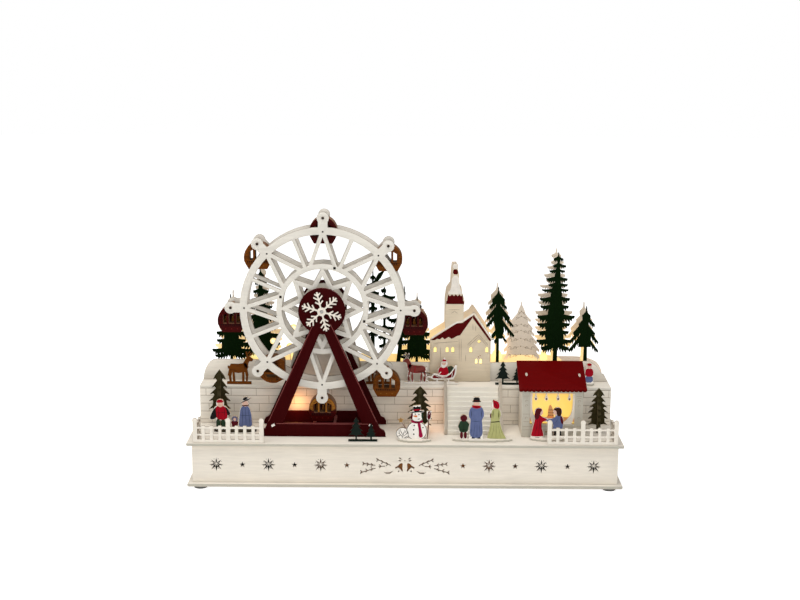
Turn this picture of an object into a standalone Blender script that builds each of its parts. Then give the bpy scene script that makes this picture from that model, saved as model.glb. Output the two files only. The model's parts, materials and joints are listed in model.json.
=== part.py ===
"""Lit wooden winter scene with a motor-driven ferris wheel, in metres, +Z up.

The scene stands on the XY plane, centred on X = 0 and Y = 0, and its front faces -Y. It is made the way
such plywood scenes are made: flat sawn plates, painted and slotted together. Nearly every piece is
therefore a slab: a flat outline with cut-outs, swept straight through the thickness of the plate.
"""
import bpy
import bmesh
from math import atan2, cos, hypot, pi, radians, sin, tau
from mathutils import Vector
from mathutils.geometry import delaunay_2d_cdt

# Stock and clearances
PLY = 0.0030                # plate of the wheel, the frames and the figures
BOARD = 0.0033              # plate of the base box and the terrace
FIGURE_PLY = 0.0024         # plate of the figures and fences
FOOT_PLATE = 0.0020         # height of the oval foot under a group of figures
SEAT = 0.0003               # glue gap between two pieces that touch
RUN = 0.0004                # running clearance round a pin in its hole

# Base box
BASE_LENGTH = 0.4500
BASE_DEPTH = 0.1400
DECK_TOP = 0.0500
PANEL_INSET = 0.0050        # from the edge of the boards to the faces of the panels
FOOT_HEIGHT = 0.0030
FOOT_RADIUS = 0.0070
FOOT_INSET_X = 0.0130       # from the ends of the base to the middle of a foot
FOOT_INSET_Y = 0.0085       # from the front and rear edges to the middle of a foot
STAR_PITCH = 0.0270         # from one cut-out in the front panel to the next
STAR_FIRST = 0.0870         # middle of the large star next to the bells
STAR_LARGE = 0.0074
STAR_SMALL = 0.0033
STAR_COUNT = 5              # stars in each row, large and small in turn
STAR_DROP = 0.0010          # of the row of stars below the middle of the panel
TWIG_WIDTH = 0.0009
SPRIG_REACH = 0.0021
SPRIG_RISE = 0.0019
SWITCH_X = 0.1500
SWITCH_TRAVEL = 0.0050
SWITCH_WIDTH = 0.0050
SWITCH_STEM = 0.0034
SWITCH_KNOB = 0.0070
SWITCH_FLANGE = 0.0018
BATTERY_LENGTH = 0.0660
BATTERY_DEPTH = 0.0520
BATTERY_HEIGHT = 0.0200
BATTERY_WALL = 0.0018
BATTERY_Y = 0.0220
LID_LAP = 0.0040
LID_THICKNESS = 0.0018

# Terrace and stairs
TERRACE_TOP = 0.0920
TERRACE_LENGTH = 0.4410
WALL_FRONT = 0.0012
REAR_MARGIN = 0.0100        # from the rear edge of the base to the front face of the back scene
STAIR_X = 0.0720
STAIR_WIDTH = 0.0550
STAIR_RUN = 0.0380
STAIR_STEPS = 10
STAIR_SOFFIT = 0.0080       # how far the underside lies below the treads
RAIL_RISE = 0.0060
RAIL_BALL = 0.0026
RAIL_REST = 0.0040          # level stretch at the top of a stair rail

# Wheel
WHEEL_X = -0.0860
AXLE_Z = 0.1840
WHEEL_MID_Y = -0.0226
DISC_GAP = 0.0200           # clear width between the two discs
WHEEL_TURN = radians(-0.6)
GONDOLAS = 8
PIN_CIRCLE = 0.0948
LUG_RADIUS = 0.0063
LUG_ARM = 0.0098
RIM_OUTER = 0.0854
RIM_INNER = 0.0779
RING_OUTER = 0.0477
RING_INNER = 0.0421
STRUT = 0.0041
SPOKE = 0.0036
STRUT_SPREAD = radians(17.2)
STAR_TIP = 0.0396
STAR_VALLEY = 0.0238
STAR_STRUT = 0.0046
STAR_NECK = 0.0030          # between a tip of the star and the ring
HUB_RADIUS = 0.0227
SPACER_CIRCLE = 0.0449
SPACER_RADIUS = 0.0022
SPACER_TENON = 0.0012
SPACERS = 4
SPACER_START = radians(73.6)
PIN_RADIUS = 0.0012
PIN_PROUD = 0.0010

# Gondolas
GONDOLA_WIDTH = 0.0288
GONDOLA_DROP = 0.0272       # from the pin to the floor
GONDOLA_DEPTH = 0.0146
GONDOLA_SHOULDER = 0.0150   # from the pin to where the dome is widest
GONDOLA_RISE = 0.0154       # of the dome above its widest place
GONDOLA_EAR = 0.0030        # radius of the ear that hangs on the pin
GONDOLA_FLARE = ((0.667, 1.0), (0.861, 0.59), (0.986, 0.29))  # sides, in shares of half width and depth
WINDOW_TOP = 0.0070
WINDOW_SILL = 0.0180
WINDOW_HALF = 0.0029        # half the width of the middle window
WINDOW_POST = 0.0021
WINDOW_OUTER = 0.0037       # width of the outer windows
WINDOW_FALL = 0.0024        # of the outer windows' heads toward the sides
SWUNG_GONDOLA = 3           # the one that hangs askew in the photograph
SWUNG_ANGLE = radians(90.0)

# A-frames, axle and drive
FRAME_GAP = 0.0408          # clear width between the two A-frames
HEAD_RADIUS = 0.0242
LEG_TOP = 0.0120            # from the axle down to the top of the legs
LEG_TOP_INNER = -0.0020     # from the wheel's middle to the edges of a leg, at its top and foot
LEG_TOP_OUTER = 0.0090
LEG_FOOT_INNER = 0.0470
LEG_FOOT_OUTER = 0.0640
CROSSBAR_RISE = 0.0145      # of the crossbar above the deck
TOE_HALF = 0.0656
TOE_RISE = 0.0085
AXLE_RADIUS = 0.0030
AXLE_TIP = 0.0015           # radius of the axle in the snowflake and in the motor
SNOWFLAKE_PLY = 0.0021
SNOWFLAKE_HUB = 0.0046
SNOWFLAKE_RADIUS = 0.0210
SNOWFLAKE_TURN = radians(13.6)
SNOWFLAKE_ARM = 0.0017
HOUSING_FRONT = 0.0014
HOUSING_DEPTH = 0.0200
HOUSING_HALF = 0.0420
HOUSING_TOP_RADIUS = 0.0200
HOUSING_WALL = 0.0025
MOTOR_RADIUS = 0.0145
MOTOR_DEPTH = 0.0120
MOTOR_EAR_REACH = 0.0164
MOTOR_EAR_HALF = 0.0035
MOTOR_EAR_DEPTH = 0.0020

# Layers behind the terrace wall, each given by its front face
CHURCH_Y = 0.0207
HILL_Y = 0.0240
LED_Y = 0.0290
TREES_Y = 0.0370
HILL_RISE = 0.0225
HILL_END = 0.0010           # from the ends of the terrace to the ends of the hill
CHURCH_DRAWN_X = 26.2       # left end of the nave, along the terrace
TREE_STRIP = 0.0100         # height of the strip that joins the trees of a group
LAMPS = 10
LAMP_MARGIN = 0.0200        # from the ends of the terrace to the ends of the strip of lamps
LAMP_RADIUS = 0.0017
LAMP_RISE = 0.0030
LED_STRIP = 0.0026
LED_PLY = 0.0024

# Fences
FENCE_INSET = 0.0010        # from the front edge of the deck to the face of the fence
FENCE_LEFT_X = -0.2157
FENCE_RIGHT_X = 0.1481
FENCE_BAY = 0.0342
FENCE_RETURN = 0.0300
POST_HEIGHT = 0.0220
POST_WIDTH = 0.0046
POST_BALL = 0.0028
PICKET_WIDTH = 0.0034
PICKET_HEIGHT = 0.0180
FENCE_BAYS = 2
PICKETS = 3                 # between two posts
PICKET_LIFT = 0.0001
RAIL_SPANS = ((0.0, 0.0034), (0.0075, 0.0095), (0.0148, 0.0168))
RETURN_LAP = 0.0012         # of the return behind the face of the fence

# Market stall
STALL_LEFT = 0.1215
STALL_RIGHT = 0.1848
STALL_FRONT = -0.0430
STALL_REAR = -0.0016
STALL_EAVES = 0.1005
STALL_RIDGE = 0.1195
STALL_SILL = 0.0640
STALL_POST = 0.0085
STALL_LINTEL = 0.0030
ROOF_OVERHANG = 0.0035
ROOF_FRONT_LIP = 0.0012
SCALLOPS = 16
CLEAR = 0.0200              # how far a cutting solid runs past the wood

# Figures and small trees: x, and how far each stands behind the front edge of the deck or of the terrace
DRAWN = 0.0010              # one unit of a drawing, which is a millimetre
DRAWN_TERRACE = 441.0       # length of the terrace in the drawings of the trees
GAP_TOP = 0.30              # how far the gaps between boughs leave the tree filled, at its top and foot
GAP_FOOT = 0.70
FIGURE_MARGIN = 0.0060      # of the oval foot before and behind the plate
NARROW_MARGIN = 0.0036
SNOWMAN_X = 0.0120
SNOWMAN_INSET = 0.0115
FAMILY_X = 0.0735
FAMILY_INSET = 0.0140
LEFT_FAMILY_X = -0.1770
LEFT_FAMILY_INSET = 0.0400
COUPLE_X = 0.1480
COUPLE_INSET = 0.0178
VISITOR_X = 0.1978
VISITOR_INSET = 0.0108
DEER_LEFT_X = -0.1790
DEER_LEFT_INSET = 0.0038
DEER_RIGHT_X = -0.0300
DEER_RIGHT_INSET = 0.0068
SLEIGH_X = 0.0290
SLEIGH_INSET = 0.0073
TWINS_FRONT_X = -0.0436
TWINS_FRONT_INSET = 0.0085
TWINS_TERRACE_X = 0.1117
TWINS_TERRACE_INSET = 0.0078
SLOT_TRUNK = 0.0016
SLOT_STEP = 0.0012          # by which the second plate of a slotted tree is lower
SLOT_LEFT_X = -0.1972
SLOT_LEFT_INSET = 0.0582
SLOT_MIDDLE_X = 0.0155
SLOT_MIDDLE_INSET = 0.0370
SLOT_RIGHT_X = 0.2036
SLOT_RIGHT_INSET = 0.0450

# Levels and faces that follow from the dimensions above
DECK = DECK_TOP + SEAT
TERRACE = TERRACE_TOP + SEAT
DECK_FRONT = -BASE_DEPTH / 2
BACK_Y = BASE_DEPTH / 2 - REAR_MARGIN
TERRACE_REAR = BACK_Y - SEAT
FENCE_Y = DECK_FRONT + FENCE_INSET

# Paints, each as red, green, blue and roughness
WHITE = (0.80, 0.75, 0.66, 0.55)
MAROON = (0.055, 0.004, 0.006, 0.35)
ROOF_RED = (0.19, 0.005, 0.006, 0.40)
GONDOLA_RED = (0.09, 0.005, 0.008, 0.40)
GONDOLA_BROWN = (0.25, 0.08, 0.015, 0.45)
SPRUCE_GREEN = (0.005, 0.035, 0.012, 0.60)
SLOT_TREE = (0.06, 0.045, 0.020, 0.65)
SLATE_GREEN = (0.025, 0.040, 0.033, 0.60)
DEER_BROWN = (0.24, 0.085, 0.018, 0.50)
SILVER = (0.55, 0.55, 0.56, 0.35)
STEEL = (0.60, 0.58, 0.55, 0.30)
DARK_PLASTIC = (0.030, 0.030, 0.032, 0.45)
FIGURE_BLUE = (0.11, 0.17, 0.36, 0.50)
SNOW_WHITE = (0.82, 0.80, 0.76, 0.55)
METALLIC = (SILVER, STEEL)

PIECES = bpy.data.collections.new("ferris_wheel_scene")


def clear_scene():
    for old in list(bpy.data.objects):
        bpy.data.objects.remove(old, do_unlink=True)
    bpy.context.scene.collection.children.link(PIECES)


def paint(name, colour):
    material = bpy.data.materials.new(name)
    material.use_nodes = True
    shader = material.node_tree.nodes["Principled BSDF"]
    shader.inputs["Base Color"].default_value = (*colour[:3], 1.0)
    shader.inputs["Roughness"].default_value = colour[3]
    shader.inputs["Metallic"].default_value = 1.0 if colour in METALLIC else 0.0
    return material


# Flat shapes, as lists of points in the plane of a plate

def disc(x, z, radius, sides=24, start=0.0):
    return [(x + radius * cos(start + tau * k / sides), z + radius * sin(start + tau * k / sides))
            for k in range(sides)]


def box(x0, z0, x1, z1):
    return [(x0, z0), (x1, z0), (x1, z1), (x0, z1)]


def bar(p, q, width):
    """A strip of the given width from p to q with square ends."""
    dx, dz = q[0] - p[0], q[1] - p[1]
    length = hypot(dx, dz)
    nx, nz = -dz / length * width / 2, dx / length * width / 2
    return [(p[0] + nx, p[1] + nz), (p[0] - nx, p[1] - nz), (q[0] - nx, q[1] - nz), (q[0] + nx, q[1] + nz)]


def polar(radius, angle, centre=(0.0, 0.0)):
    return (centre[0] + radius * cos(angle), centre[1] + radius * sin(angle))


def star(x, z, radius, points, waist, start=pi / 2):
    """A pointed star whose valleys lie at waist times its radius."""
    return [polar(radius if k % 2 == 0 else radius * waist, start + pi * k / points, (x, z))
            for k in range(2 * points)]


def drawn(shapes, x, low, factor=1.0):
    """Figures are drawn in millimetres about their own foot, and set down here in metres."""
    size = factor * DRAWN
    return [[(x + u * size, low + v * size) for u, v in shape] for shape in shapes]


def scaled(shapes, factor, dx=0.0):
    return [[(x * factor + dx, z * factor) for x, z in shape] for shape in shapes]


def mirrored(shapes):
    return [[(-x, z) for x, z in shape] for shape in shapes]


def inside(point, shape):
    """Even and odd crossings of a ray that runs from the point to the right."""
    x, z = point
    hit = False
    for (x0, z0), (x1, z1) in zip(shape, shape[1:] + shape[:1]):
        if (z0 > z) != (z1 > z) and x < x0 + (z - z0) * (x1 - x0) / (z1 - z0):
            hit = not hit
    return hit


# Slabs

FACING = {
    "Y": lambda u, v, w: (u, w, v),
    "X": lambda u, v, w: (w, u, v),
    "Z": lambda u, v, w: (u, v, w),
}
PLAN_SCALE = 1000.0         # outlines are triangulated in millimetres
PLAN_MERGE = 0.0005
PLAN_STRAIGHT = 0.0020


def cut_plane(points, edges, steps):
    """Triangles of the plane along the edges, each with the span of the last step that holds it."""
    corners, _, triangles, _, _, _ = delaunay_2d_cdt(points, edges, [], 0, PLAN_MERGE)
    flat = [(p.x / PLAN_SCALE, p.y / PLAN_SCALE) for p in corners]
    kept = []
    for tri in triangles:
        middle = (sum(flat[k][0] for k in tri) / 3, sum(flat[k][1] for k in tri) / 3)
        span = None
        for shape, reach in steps:
            if inside(middle, shape):
                span = reach
        if span is not None:
            kept.append((tuple(tri), span))
    return corners, flat, kept


def straight(corner, a, b):
    """Whether a corner lies on the line from a to b, to within a hair."""
    along = (b - a).normalized()
    off = corner - a
    return abs(along.x * off.y - along.y * off.x) < PLAN_STRAIGHT


def outline_edges(corners, kept):
    """The edges where the span changes, without the corners that lie straight between two others."""
    sides = {(a, b): span for tri, span in kept for a, b in zip(tri, tri[1:] + tri[:1])}
    links = {}
    for (a, b), span in sides.items():
        if sides.get((b, a)) != span:
            links.setdefault(a, set()).add(b)
            links.setdefault(b, set()).add(a)
    for corner in sorted(links):
        if len(links[corner]) == 2:
            a, b = links[corner]
            if b not in links[a] and straight(corners[corner], corners[a], corners[b]):
                links[a] = (links[a] - {corner}) | {b}
                links[b] = (links[b] - {corner}) | {a}
                del links[corner]
    places = {corner: k for k, corner in enumerate(sorted(links))}
    edges = [(places[a], places[b]) for a in places for b in links[a] if a < b]
    return [corners[corner] for corner in places], edges


def triangulate(steps):
    """Cut the plane along every outline, then again along only those edges that the union leaves."""
    points, edges = [], []
    for shape, _ in steps:
        first = len(points)
        points += [Vector((x * PLAN_SCALE, z * PLAN_SCALE)) for x, z in shape]
        edges += [(first + k, first + (k + 1) % len(shape)) for k in range(len(shape))]
    corners, _, kept = cut_plane(points, edges, steps)
    _, flat, kept = cut_plane(*outline_edges(corners, kept), steps)
    return flat, kept


def slab(name, steps, colour, facing="Y"):
    """A closed body from steps of (outline, (near, far)), the later step winning, and None cutting through.

    Every triangle of the plan becomes a prism from near to far. Walls close the prisms where the spans of
    two neighbours differ, and are split at every level that meets their corners, so the body is closed.
    """
    flat, kept = triangulate(steps)
    levels, sides = {}, {}
    for tri, span in kept:
        for corner in tri:
            levels.setdefault(corner, set()).update(span)
        for a, b in zip(tri, tri[1:] + tri[:1]):
            sides[(a, b)] = span
    mesh = bmesh.new()
    made = {}

    def vertex(corner, level):
        if (corner, level) not in made:
            made[(corner, level)] = mesh.verts.new(FACING[facing](*flat[corner], level))
        return made[(corner, level)]

    def wall(a, b, low, high):
        up = [level for level in sorted(levels[a]) if low <= level <= high]
        down = [level for level in sorted(levels[b], reverse=True) if low <= level <= high]
        mesh.faces.new([vertex(a, level) for level in up] + [vertex(b, level) for level in down])

    for tri, (near, far) in kept:
        mesh.faces.new([vertex(corner, near) for corner in tri])
        mesh.faces.new([vertex(corner, far) for corner in reversed(tri)])
        for a, b in zip(tri, tri[1:] + tri[:1]):
            other = sides.get((b, a))
            if other is None:
                wall(a, b, near, far)
            else:
                if near < other[0]:
                    wall(a, b, near, other[0])
                if far > other[1]:
                    wall(a, b, other[1], far)
    bmesh.ops.recalc_face_normals(mesh, faces=mesh.faces[:])
    return piece(name, mesh, colour)


def piece(name, mesh, colour):
    data = bpy.data.meshes.new(name)
    mesh.to_mesh(data)
    mesh.free()
    data.materials.append(paint(name + "_paint", colour))
    made = bpy.data.objects.new(name, data)
    PIECES.objects.link(made)
    return made


def plate(name, solid, colour, front, cuts=(), thickness=PLY, facing="Y"):
    """One plate of even thickness: the union of the solid shapes, less the cuts."""
    span = (front, front + thickness)
    return slab(name, [(shape, span) for shape in solid] + [(shape, None) for shape in cuts], colour, facing)


def combine(target, tool, operation):
    """Join or cut with a second slab, which the piece then takes up."""
    step = target.modifiers.new(operation.lower(), "BOOLEAN")
    step.operation = operation
    step.solver = "EXACT"
    step.object = tool
    tool.hide_render = True
    tool.display_type = "WIRE"
    tool.parent = target
    return target


# Base box

def panel_levels():
    return FOOT_HEIGHT + BOARD + SEAT, DECK_TOP - BOARD - SEAT


def twig(start, end, sprigs):
    """A straight twig with pairs of short sprigs that lean toward its tip."""
    bars = [bar(start, end, TWIG_WIDTH)]
    side = 1 if end[0] > start[0] else -1
    for k in range(sprigs):
        share = (k + 0.6) / sprigs
        foot = (start[0] + (end[0] - start[0]) * share, start[1] + (end[1] - start[1]) * share)
        for rise in (-SPRIG_RISE, SPRIG_RISE):
            bars.append(bar(foot, (foot[0] + side * SPRIG_REACH, foot[1] + rise), TWIG_WIDTH))
    return bars


def bells_and_twigs(x, z):
    """The cut-outs in the middle of the front panel: two bells under a bow, with four twigs on each side.

    The shapes of the right half are drawn in millimetres from the middle of the panel's row of stars.
    """
    bell = [(2.2, 1.2), (2.6, 2.4), (3.8, 2.7), (5.4, 2.0), (7.0, -0.1), (10.1, -1.7), (9.6, -3.5),
            (6.8, -2.2), (4.4, -4.4), (3.0, -6.6), (1.9, -6.2), (2.6, -2.8)]
    clapper = disc(6.4, -6.1, 0.8, 10)
    bow = [(2.6, 6.3), (4.6, 8.4), (6.6, 8.9), (5.2, 7.2)]
    tail = [(3.2, 5.2), (5.2, 4.4), (7.2, 5.8), (5.4, 6.1)]
    leaf = [(11.6, -5.4), (15.6, -7.4), (20.6, -7.5), (22.4, -6.6), (19.6, -8.9), (15.2, -8.8)]
    lines = [((14.4, 0.2), (29.3, 6.9), 3), ((20.3, -0.8), (27.4, -0.9), 1), ((30.5, 0.1), (43.5, 2.2), 3),
             ((30.1, -2.9), (46.1, -7.9), 3)]
    cuts = [disc(x, z + 5.8 * DRAWN, 0.6 * DRAWN, 8)]
    for side in (-1, 1):
        for shape in (bell, clapper, bow, tail, leaf):
            cuts.append([(x + side * u * DRAWN, z + v * DRAWN) for u, v in shape])
        for start, end, sprigs in lines:
            ends = [(x + side * u * DRAWN, z + v * DRAWN) for u, v in (start, end)]
            cuts += twig(*ends, sprigs)
    return cuts


def front_cutouts():
    """Large and small stars in turn on both sides of the bells."""
    low, high = panel_levels()
    z = (low + high) / 2 - STAR_DROP
    cuts = bells_and_twigs(0.0, z)
    for side in (-1, 1):
        cuts.append(star(side * (STAR_FIRST - STAR_PITCH), z, STAR_SMALL, 5, 0.42))
        for k in range(STAR_COUNT):
            x = side * (STAR_FIRST + k * STAR_PITCH)
            if k % 2:
                cuts.append(star(x, z, STAR_SMALL, 5, 0.42))
            else:
                cuts.append(star(x, z, STAR_LARGE, 8, 0.38))
    return cuts


def build_base():
    half, deep = BASE_LENGTH / 2, BASE_DEPTH / 2
    low, high = panel_levels()
    deck = box(-half, -deep, half, deep)
    plate("deck_board", [deck], WHITE, DECK_TOP - BOARD, thickness=BOARD, facing="Z")
    opening = box(-BATTERY_LENGTH / 2, BATTERY_Y - BATTERY_DEPTH / 2,
                  BATTERY_LENGTH / 2, BATTERY_Y + BATTERY_DEPTH / 2)
    board = box(-half, -deep, half, deep)
    plate("bottom_board", [board], WHITE, FOOT_HEIGHT, [opening], BOARD, "Z")
    face = box(-half + PANEL_INSET, low, half - PANEL_INSET, high)
    plate("front_panel", [face], WHITE, -deep + PANEL_INSET, front_cutouts(), BOARD)
    middle = (low + high) / 2
    slot = box(SWITCH_X - (SWITCH_WIDTH + SWITCH_TRAVEL) / 2 - RUN, middle - SWITCH_STEM / 2 - RUN,
               SWITCH_X + (SWITCH_WIDTH + SWITCH_TRAVEL) / 2 + RUN, middle + SWITCH_STEM / 2 + RUN)
    plate("rear_panel", [face], WHITE, deep - PANEL_INSET - BOARD, [slot], BOARD)
    reach = deep - PANEL_INSET - BOARD - SEAT
    side = box(-reach, low, reach, high)
    plate("left_panel", [side], WHITE, -half + PANEL_INSET, thickness=BOARD, facing="X")
    plate("right_panel", [side], WHITE, half - PANEL_INSET - BOARD, thickness=BOARD, facing="X")
    for word, sy in (("front", -1), ("rear", 1)):
        for hand, sx in (("left", -1), ("right", 1)):
            foot = disc(sx * (half - FOOT_INSET_X), sy * (deep - FOOT_INSET_Y), FOOT_RADIUS)
            plate(f"foot_{word}_{hand}", [foot], SILVER, 0.0, thickness=FOOT_HEIGHT - SEAT, facing="Z")


def build_battery():
    half, deep = BATTERY_LENGTH / 2, BATTERY_DEPTH / 2
    floor_level = FOOT_HEIGHT + BOARD + SEAT
    top = floor_level + BATTERY_HEIGHT
    rim = BATTERY_WALL
    outer = box(-half - rim, BATTERY_Y - deep - rim, half + rim, BATTERY_Y + deep + rim)
    inner = box(-half, BATTERY_Y - deep, half, BATTERY_Y + deep)
    slab("battery_case", [(outer, (floor_level, top)), (inner, (top - rim, top))], DARK_PLASTIC, "Z")
    lid_low = FOOT_HEIGHT - SEAT - LID_THICKNESS
    near, far = BATTERY_Y - deep - LID_LAP, BATTERY_Y + deep + LID_LAP
    lid = box(-half - LID_LAP, near, half + LID_LAP, far)
    plate("battery_lid", [lid], DARK_PLASTIC, lid_low, thickness=LID_THICKNESS, facing="Z")


def build_switch():
    """The slide of the switch: a stem through the rear panel, with a flange inside and a knob outside."""
    low, high = panel_levels()
    middle = (low + high) / 2
    inner = BASE_DEPTH / 2 - PANEL_INSET - BOARD - SEAT
    outer = BASE_DEPTH / 2 - PANEL_INSET + SEAT
    knob_low, knob_high = middle - SWITCH_KNOB / 2, middle + SWITCH_KNOB / 2
    stem_low, stem_high = middle - SWITCH_STEM / 2, middle + SWITCH_STEM / 2
    profile = [
        box(inner - SWITCH_FLANGE, knob_low, inner, knob_high),
        box(outer, knob_low, outer + SWITCH_FLANGE, knob_high),
        box(inner - SWITCH_FLANGE / 2, stem_low, outer + SWITCH_FLANGE / 2, stem_high),
    ]
    start = SWITCH_X - (SWITCH_WIDTH + SWITCH_TRAVEL) / 2
    plate("switch_slider", profile, DARK_PLASTIC, start, thickness=SWITCH_WIDTH, facing="X")


# Terrace and stairs

def build_terrace():
    half = TERRACE_LENGTH / 2
    under = TERRACE_TOP - BOARD
    wall = box(-half, DECK, half, under - SEAT)
    plate("terrace_wall", [wall], WHITE, WALL_FRONT, thickness=BOARD)
    end = box(WALL_FRONT + BOARD + SEAT, DECK, TERRACE_REAR, under - SEAT)
    plate("terrace_end_left", [end], WHITE, -half, thickness=BOARD, facing="X")
    plate("terrace_end_right", [end], WHITE, half - BOARD, thickness=BOARD, facing="X")
    top = box(-half, WALL_FRONT, half, TERRACE_REAR)
    plate("terrace_board", [top], WHITE, under, thickness=BOARD, facing="Z")


def stair_line():
    """Front foot, rear end, rise and run of the flight, in the plane of its side view."""
    rear = WALL_FRONT - SEAT
    return rear - STAIR_RUN, rear, (TERRACE_TOP - DECK) / STAIR_STEPS, STAIR_RUN / STAIR_STEPS


def build_stairs():
    front, rear, rise, run = stair_line()
    outline = [(front, DECK)]
    for k in range(STAIR_STEPS):
        level = DECK + (k + 1) * rise
        outline += [(front + k * run, level), (front + (k + 1) * run, level)]
    soffit = TERRACE_TOP - STAIR_SOFFIT
    underside = [(rear, soffit), (rear - (soffit - DECK) * run / rise, DECK)]
    left = STAIR_X - STAIR_WIDTH / 2
    plate("stair_flight", [outline + underside], WHITE, left, thickness=STAIR_WIDTH, facing="X")
    top = TERRACE_TOP + RAIL_RISE
    foot = front - RUN
    rail = [(foot, DECK), (foot, DECK + RAIL_RISE), (rear - RAIL_REST, top), (rear, top), *underside]
    ball = disc(rear - RAIL_REST / 2, top + RAIL_BALL / 2, RAIL_BALL, 12)
    plate("stair_rail_left", [rail, ball], WHITE, left - SEAT - PLY, facing="X")
    plate("stair_rail_right", [rail, ball], WHITE, left + STAIR_WIDTH + SEAT, facing="X")


# Wheel, gondolas, A-frames and drive

def disc_faces():
    """Front face of the front disc, and front face of the rear disc."""
    front = WHEEL_MID_Y - DISC_GAP / 2 - PLY
    rear = WHEEL_MID_Y + DISC_GAP / 2
    return front, rear


def wheel_steps(span, pin_hole):
    """The sawn disc: lugs and rim, the V struts and spokes of the outer band, ring, inner star and hub."""
    centre = (WHEEL_X, AXLE_Z)
    pitch = tau / GONDOLAS
    nodes = [pi / 2 + WHEEL_TURN + k * pitch for k in range(GONDOLAS)]
    ring_mid = (RING_OUTER + RING_INNER) / 2
    rim_mid = (RIM_OUTER + RIM_INNER) / 2
    steps = []
    for angle in nodes:
        pin = polar(PIN_CIRCLE, angle, centre)
        steps.append((bar(polar(rim_mid, angle, centre), pin, LUG_ARM), span))
        steps.append((disc(*pin, LUG_RADIUS, 14), span))
    steps += [(disc(*centre, RIM_OUTER, 56), span), (disc(*centre, RIM_INNER, 56), None)]
    for angle in nodes:
        for side in (-1, 1):
            foot = polar(ring_mid, angle + side * STRUT_SPREAD, centre)
            steps.append((bar(polar(rim_mid, angle, centre), foot, STRUT), span))
        mid = angle + pitch / 2
        spoke = bar(polar(ring_mid, mid, centre), polar(rim_mid, mid, centre), SPOKE)
        steps.append((spoke, span))
    steps += [(disc(*centre, RING_OUTER, 32), span), (disc(*centre, RING_INNER, 32), None)]
    for angle in nodes:
        for side in (-1, 1):
            valley = polar(STAR_VALLEY, angle + side * pitch / 2, centre)
            steps.append((bar(polar(STAR_TIP, angle, centre), valley, STAR_STRUT), span))
        neck = bar(polar(STAR_TIP, angle, centre), polar(ring_mid, angle, centre), STAR_NECK)
        steps.append((neck, span))
    steps.append((disc(*centre, HUB_RADIUS, 24), span))
    steps += [(disc(*polar(PIN_CIRCLE, angle, centre), pin_hole, 8), None) for angle in nodes]
    return steps


def spacer_places():
    angles = [SPACER_START + tau * k / SPACERS for k in range(SPACERS)]
    return [polar(SPACER_CIRCLE, angle, (WHEEL_X, AXLE_Z)) for angle in angles]


def build_wheel():
    front, rear = disc_faces()
    hole = PIN_RADIUS + RUN
    bore = [(disc(WHEEL_X, AXLE_Z, AXLE_RADIUS + SEAT, 20), None)]
    steps = wheel_steps((front, front + PLY), hole) + bore
    steps += [(disc(*place, SPACER_TENON + SEAT, 8), None) for place in spacer_places()]
    slab("wheel_front", steps, WHITE)
    steps = wheel_steps((rear, rear + PLY), hole) + bore
    for place in spacer_places():
        steps.append((disc(*place, SPACER_RADIUS, 12), (front + PLY + SEAT, rear + PLY)))
        steps.append((disc(*place, SPACER_TENON, 8), (front, rear + PLY)))
    slab("wheel_rear", steps, WHITE)


def gondola_outline():
    """A dome, and sides that draw in to a flat floor, about the pin at (0, 0)."""
    half = GONDOLA_WIDTH / 2
    depth = GONDOLA_DROP - GONDOLA_SHOULDER
    arc = [pi * k / 14 for k in range(15)]
    dome = [(half * cos(a), GONDOLA_RISE * sin(a) - GONDOLA_SHOULDER) for a in arc]
    right = [(half * a, -GONDOLA_SHOULDER - depth * b) for a, b in GONDOLA_FLARE]
    return dome + [(-x, z) for x, z in right[::-1]] + right


def turned(shape, angle, place):
    dx, dz = cos(angle), sin(angle)
    return [(place[0] + x * dx - z * dz, place[1] + x * dz + z * dx) for x, z in shape]


def gondola_windows():
    """Three windows side by side, the heads of the outer ones falling toward the sides."""
    near = WINDOW_HALF + WINDOW_POST
    far = near + WINDOW_OUTER
    middle = box(-WINDOW_HALF, -WINDOW_SILL, WINDOW_HALF, -WINDOW_TOP)
    outer = [(near, -WINDOW_SILL), (far, -WINDOW_SILL), (far, -WINDOW_TOP - WINDOW_FALL),
             (near, -WINDOW_TOP)]
    return [middle, outer, *mirrored([outer])]


def build_gondolas():
    front, rear = disc_faces()
    span = (WHEEL_MID_Y - GONDOLA_DEPTH / 2, WHEEL_MID_Y + GONDOLA_DEPTH / 2)
    pin_span = (front - PIN_PROUD, rear + PLY + PIN_PROUD)
    for k in range(GONDOLAS):
        pin = polar(PIN_CIRCLE, pi / 2 + WHEEL_TURN + k * tau / GONDOLAS, (WHEEL_X, AXLE_Z))
        swing = SWUNG_ANGLE if k == SWUNG_GONDOLA else 0.0
        steps = [(turned(gondola_outline(), swing, pin), span), (disc(*pin, GONDOLA_EAR, 12), span)]
        steps += [(turned(window, swing, pin), None) for window in gondola_windows()]
        steps.append((disc(*pin, PIN_RADIUS, 8), pin_span))
        slab(f"gondola_{k + 1}", steps, GONDOLA_BROWN if k % 2 else GONDOLA_RED)


def frame_shape():
    """One A-frame about the axle: round head, two tapered legs, a crossbar and rounded toes, on the deck."""
    shapes = [disc(WHEEL_X, AXLE_Z, HEAD_RADIUS, 36)]
    top = AXLE_Z - LEG_TOP
    bar_top = DECK + CROSSBAR_RISE
    for side in (-1, 1):
        leg = [(LEG_TOP_INNER, top), (LEG_TOP_OUTER, top), (LEG_FOOT_OUTER, DECK), (LEG_FOOT_INNER, DECK)]
        toe = [(TOE_HALF - TOE_RISE * back, DECK + TOE_RISE * up)
               for back, up in ((0.0, 0.0), (0.0, 0.4), (0.2, 0.8), (0.6, 1.0))]
        toe += [(LEG_FOOT_INNER, DECK + TOE_RISE), (LEG_FOOT_INNER, DECK)]
        shapes += [[(WHEEL_X + side * x, z) for x, z in outline] for outline in (leg, toe)]
    shapes.append(box(WHEEL_X - LEG_FOOT_INNER, DECK, WHEEL_X + LEG_FOOT_INNER, bar_top))
    return shapes


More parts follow.
